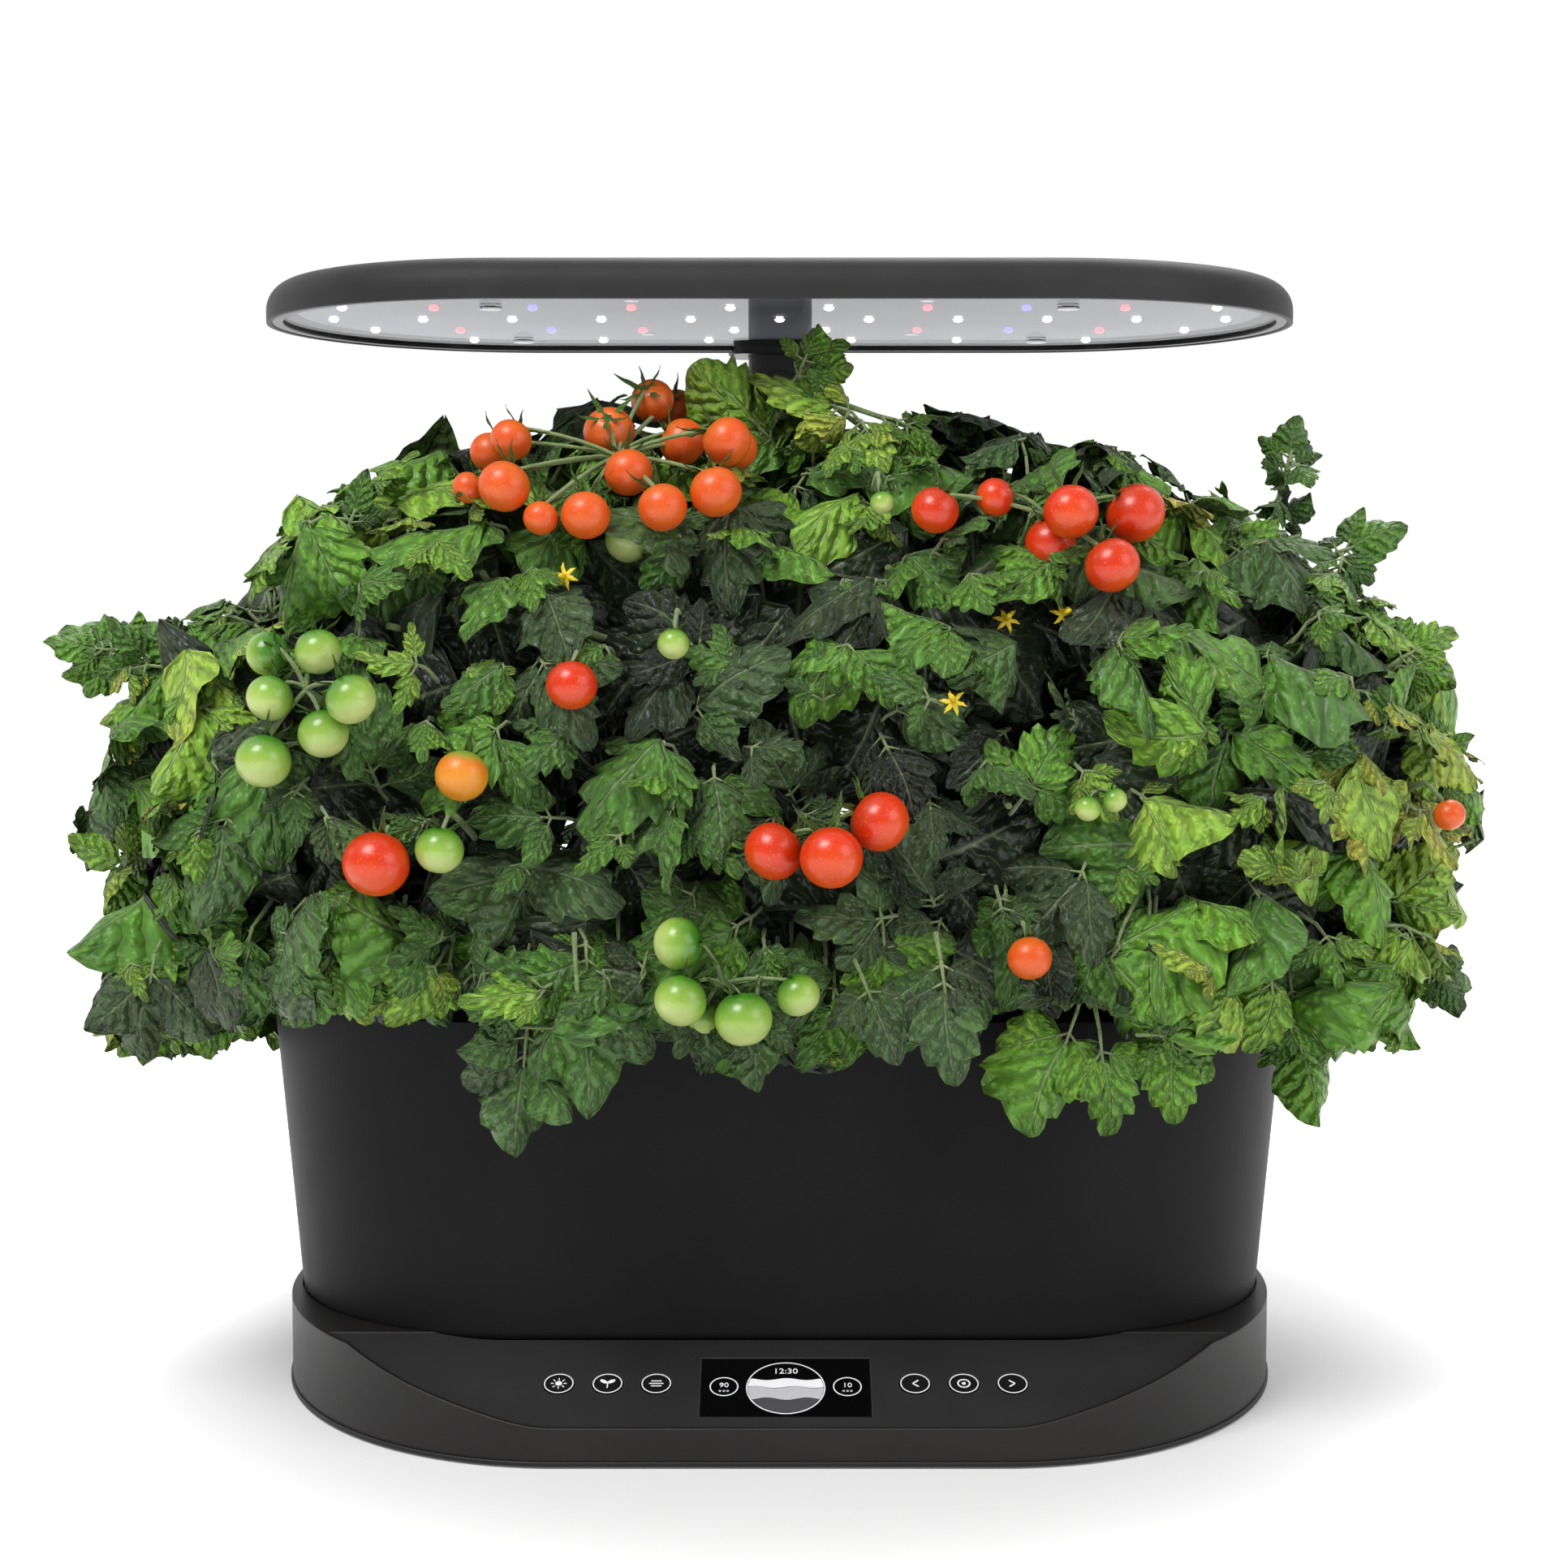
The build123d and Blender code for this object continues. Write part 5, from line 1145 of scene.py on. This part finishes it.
# Leaves that hang in front of the bowl: root, way of growth, size, tone and pairs of leaflets
HANGING = [
    ((-92, -160, 182), (-0.12, -0.15, -1.0), 42, 0.34, 2),
    ((-76, -166, 206), (0.08, -0.15, -1.0), 46, 0.40, 1),
    ((-8, -166, 190), (0.0, -0.2, -1.0), 30, 0.34, 1),
    ((26, -166, 200), (0.45, -0.3, -1.0), 32, 0.30, 1),
    ((58, -166, 206), (0.15, -0.45, -1.0), 36, 0.32, 2),
    ((116, -152, 188), (-0.34, -0.2, -1.0), 42, 0.60, 1),
    ((118, -154, 180), (0.14, -0.2, -1.0), 38, 0.58, 1),
    ((146, -150, 180), (0.1, -0.2, -1.0), 34, 0.62, 2),
    ((198, -124, 172), (0.2, -0.3, -0.9), 28, 0.60, 2),
    ((-214, -106, 194), (-0.2, -0.4, -0.7), 30, 0.62, 2),
    ((-244, -80, 196), (-0.25, -0.3, -0.8), 28, 0.66, 2),
]

sprigs = Foliage("reaching_sprigs", 61, True)
sprig_tubes = bmesh.new()
FORWARD = Vector((0, -1, 0))
for line, size, tone, count in SPRIGS:
    points = [vec(*p) for p in line]
    radii = [(1.9 - 0.9 * k / (len(points) - 1)) * MM for k in range(len(points))]
    tube(sprig_tubes, points, radii)
    draw = sprigs.draw
    run = points[-1] - points[-2]
    sprigs.compound(points[-1] - run.normalized() * 14 * MM, points[-1], run, UP * 0.5 + FORWARD, size * MM,
                    tone, 2)
    for step in range(count):
        share = (step + 1) / (count + 0.5)
        index = min(int(share * (len(points) - 1)), len(points) - 2)
        place = points[index].lerp(points[index + 1], share * (len(points) - 1) - index)
        way = (points[index + 1] - points[index]).normalized() * 0.4
        way += Vector((draw.uniform(-0.6, 0.6), draw.uniform(-0.9, 0.2), draw.uniform(-0.9, 0.7)))
        sprigs.compound(place, place + way.normalized() * size * 0.4 * MM, way,
                        UP * 0.4 + FORWARD * draw.uniform(0.5, 1.0), size * MM * draw.uniform(0.6, 0.85),
                        tone + draw.uniform(-0.08, 0.1), draw.choice((1, 2)))
for root, way, size, tone, pairs in HANGING:
    start = vec(*root)
    direction = Vector(way).normalized()
    sprigs.compound(start, start + direction * size * 0.6 * MM, direction, FORWARD + UP * 0.25, size * MM,
                    tone, pairs)
sprigs.finish("leafy_sprigs")
sprig_stems = new_piece("sprig_stems", sprig_tubes, stalk_green)


# ---- fruit, calyxes and trusses
def fruit_template():
    """Round fruit one unit in radius, with a dimple at its stalk end on +Z."""
    bm = bmesh.new()
    shoulder = bm.verts.layers.float.new("shoulder")
    bmesh.ops.create_uvsphere(bm, u_segments=28, v_segments=18, radius=1.0)
    for vert in bm.verts:
        rise = vert.co.z
        vert[shoulder] = (rise + 1) / 2
        turn = math.atan2(vert.co.y, vert.co.x)
        flat = math.hypot(vert.co.x, vert.co.y)
        dimple = 0.16 * math.exp(-(flat / 0.22) ** 2) if rise > 0 else 0.05 * math.exp(-(flat / 0.15) ** 2)
        lobe = 1 + 0.012 * math.cos(5 * turn) * max(rise, 0)
        vert.co = (vert.co.x * lobe, vert.co.y * lobe, rise * 0.95 - math.copysign(dimple, rise))
    return to_mesh("fruit", bm)


def trusses(fruit):
    """Gather fruit that lie close together."""
    groups = []
    for item in fruit:
        near = [group for group in groups
                if any((item[0] - other[0]).length < TRUSS_REACH for other in group)]
        merged = [item]
        for group in near:
            merged += group
            groups.remove(group)
        groups.append(merged)
    return groups


fruit_mesh = fruit_template()
fruit_draw = random.Random(77)
calyxes = bmesh.new()
calyx_tone = calyxes.verts.layers.float.new("tone")
truss_stalks = bmesh.new()
for node_name, skin in fruit_finishes.items():
    bm = bmesh.new()
    bm.verts.layers.float.new("shoulder")
    turning = bm.verts.layers.float.new("turning")
    for group in trusses(islands(node_name)):
        hub = sum((centre for centre, _ in group), Vector()) / len(group)
        inward = Vector((hub.x * -0.25, DOME_MID_Y - hub.y, -0.02)).normalized()
        hub = hub + inward * 6 * MM + UP * 4 * MM
        if len(group) == 1:
            hub = group[0][0] + inward * 14 * MM + UP * 14 * MM
        for centre, radius in group:
            axis = ((hub - centre).normalized() * 0.9 + UP * 0.95 + jitter(fruit_draw, 0.25)).normalized()
            side = axis.orthogonal().normalized()
            side = Matrix.Rotation(fruit_draw.uniform(0, 6.28), 3, axis) @ side
            added = append_mesh(bm, fruit_mesh, basis(side, axis.cross(side), axis, centre, (radius,) * 3))
            half_ripe = (centre - TURNING_FRUIT).length < radius
            for vert in added:
                vert[turning] = 1.0 if half_ripe else 0.0
            seat = centre + axis * radius * 0.86
            for leaf in range(5):
                turn = leaf * 2 * math.pi / 5 + fruit_draw.uniform(-0.2, 0.2)
                out = Matrix.Rotation(turn, 3, axis) @ side
                way = (out + axis * fruit_draw.uniform(-0.1, 0.35)).normalized()
                length = radius * fruit_draw.uniform(0.9, 1.3)
                across = way.cross(axis).normalized()
                place = basis(across, way, across.cross(way), seat, (length,) * 3)
                added = append_mesh(calyxes, sepal, place)
                for vert in added:
                    vert[calyx_tone] = 0.58
            bend = seat.lerp(hub, 0.5) + axis * 3 * MM
            tube(truss_stalks, [seat - axis * 1 * MM, bend, hub], [0.9 * MM, 0.8 * MM, 1.0 * MM])
        tube(truss_stalks, [hub, hub + inward * 14 * MM - UP * 2 * MM, hub + inward * 34 * MM - UP * 10 * MM],
             [1.2 * MM, 1.4 * MM, 1.6 * MM])
    piece = new_piece(node_name + "_fruit", bm, skin)
    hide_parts(node_name)
calyx_piece = new_piece("fruit_calyxes", calyxes, leaf_green)
truss_piece = new_piece("fruit_trusses", truss_stalks, stalk_green)

# ---- flowers
PETAL_LENGTH = 6 * MM
FLOWERS = [(86, -140, 322), (108, -138, 324), (-81, -142, 338), (-262, -84, 268), (64, -168, 292)]
petals = bmesh.new()
flower_draw = random.Random(5)
for place in FLOWERS:
    centre = vec(*place)
    axis = Vector((flower_draw.uniform(-0.4, 0.4), -1.0, flower_draw.uniform(-0.1, 0.5))).normalized()
    side = axis.orthogonal().normalized()
    for leaf in range(6):
        out = Matrix.Rotation(leaf * math.pi / 3, 3, axis) @ side
        way = (out - axis * 0.25 + axis * flower_draw.uniform(0, 0.3)).normalized()
        across = way.cross(axis).normalized()
        append_mesh(petals, petal, basis(across, way, across.cross(way), centre, (PETAL_LENGTH,) * 3))
    along = axis.cross(side)
    append_mesh(petals, stalk_mesh, basis(side, along, axis, centre, (1.3 * MM, 1.3 * MM, 5 * MM)))
flower_piece = new_piece("flowers", petals, petal_yellow)


# ---- stage, lights and camera
WHITE = (1, 1, 1, 1)
SHADOW_REACH = (0.19, 0.46)
DIFFUSE_LEVEL = 0.42

# Lights: place, target, size and power
LIGHTS = {
    "key_light_panel": ((-0.8, -1.1, 1.9), (0, 0, 0.25), (0.9, 0.9), 34),
    "fill_light_panel": ((1.5, -1.1, 1.0), (0, 0, 0.25), (1.2, 1.2), 11),
    "back_light_panel": ((0.3, 1.2, 1.8), (0, 0, 0.3), (1.6, 0.8), 20),
}


def make_floor():
    """Pale floor that keeps the soft shadow and runs to white."""
    bm = bmesh.new()
    bmesh.ops.create_grid(bm, x_segments=1, y_segments=1, size=FLOOR_HALF)
    mesh = to_mesh("floor", bm)
    material, graph, shader, spot = new_material("pale_floor")
    rays = graph.add("ShaderNodeLightPath").outputs
    seen = graph.math("ADD", rays["Is Camera Ray"], rays["Is Glossy Ray"], clamp=True)
    seen = graph.math("ADD", seen, rays["Is Transmission Ray"], clamp=True)
    far = graph.add("ShaderNodeVectorMath", operation="LENGTH")
    graph.put(far, 0, spot["Object"])
    glow = graph.math("MULTIPLY_ADD", graph.step(far.outputs["Value"], *SHADOW_REACH), 0.90, 0.10)
    graph.fill(shader, Emission_Strength=graph.math("MULTIPLY", seen, glow), Emission_Color=WHITE,
               Base_Color=(0.82, 0.82, 0.82, 1), Roughness=0.6, Specular_IOR_Level=0.1)
    mesh.materials.append(material)
    floor = bpy.data.objects.new("floor", mesh)
    bpy.context.scene.collection.objects.link(floor)


def make_world():
    """Even pale surroundings, white to the camera and in gloss behind the object."""
    world = bpy.data.worlds.new("studio")
    world.use_nodes = True
    graph = Graph(world.node_tree)
    world.node_tree.nodes.clear()
    rays = graph.add("ShaderNodeLightPath").outputs
    seen = graph.math("ADD", rays["Is Camera Ray"], rays["Is Transmission Ray"], clamp=True)
    spot = graph.add("ShaderNodeTexCoord").outputs["Generated"]
    parts = graph.fill(graph.add("ShaderNodeSeparateXYZ"), Vector=spot).outputs
    gloss = graph.math("MULTIPLY_ADD", graph.step(parts[1], -0.3, 0.3), 0.72, 0.28)
    gloss = graph.math("MULTIPLY", gloss, rays["Is Glossy Ray"])
    plain = graph.math("SUBTRACT", 1.0, rays["Is Glossy Ray"])
    level = graph.math("MULTIPLY_ADD", plain, DIFFUSE_LEVEL, gloss)
    back = graph.fill(graph.add("ShaderNodeBackground"), Color=WHITE,
                      Strength=graph.math("MAXIMUM", level, seen))
    graph.fill(graph.add("ShaderNodeOutputWorld"), Surface=back.outputs[0])
    bpy.context.scene.world = world


def area_light(name, place, target, size, power):
    light = bpy.data.lights.new(name, "AREA")
    light.shape = "RECTANGLE"
    light.size, light.size_y = size
    light.energy = power
    lamp = bpy.data.objects.new(name, light)
    lamp.location = place
    lamp.rotation_euler = (Vector(target) - Vector(place)).to_track_quat("-Z", "Y").to_euler()
    bpy.context.scene.collection.objects.link(lamp)


make_floor()
make_world()
for title, settings in LIGHTS.items():
    area_light(title, *settings)

camera_data = bpy.data.cameras.new("camera")
camera_data.lens = CAMERA_LENS
camera_data.sensor_width = SENSOR_WIDTH
camera_data.clip_end = 30.0
camera = bpy.data.objects.new("camera", camera_data)
camera.location = CAMERA_PLACE
camera.rotation_euler = (math.pi / 2 - CAMERA_PITCH, 0, 0)
bpy.context.scene.collection.objects.link(camera)
bpy.context.scene.camera = camera
bpy.context.scene.view_settings.view_transform = "Standard"
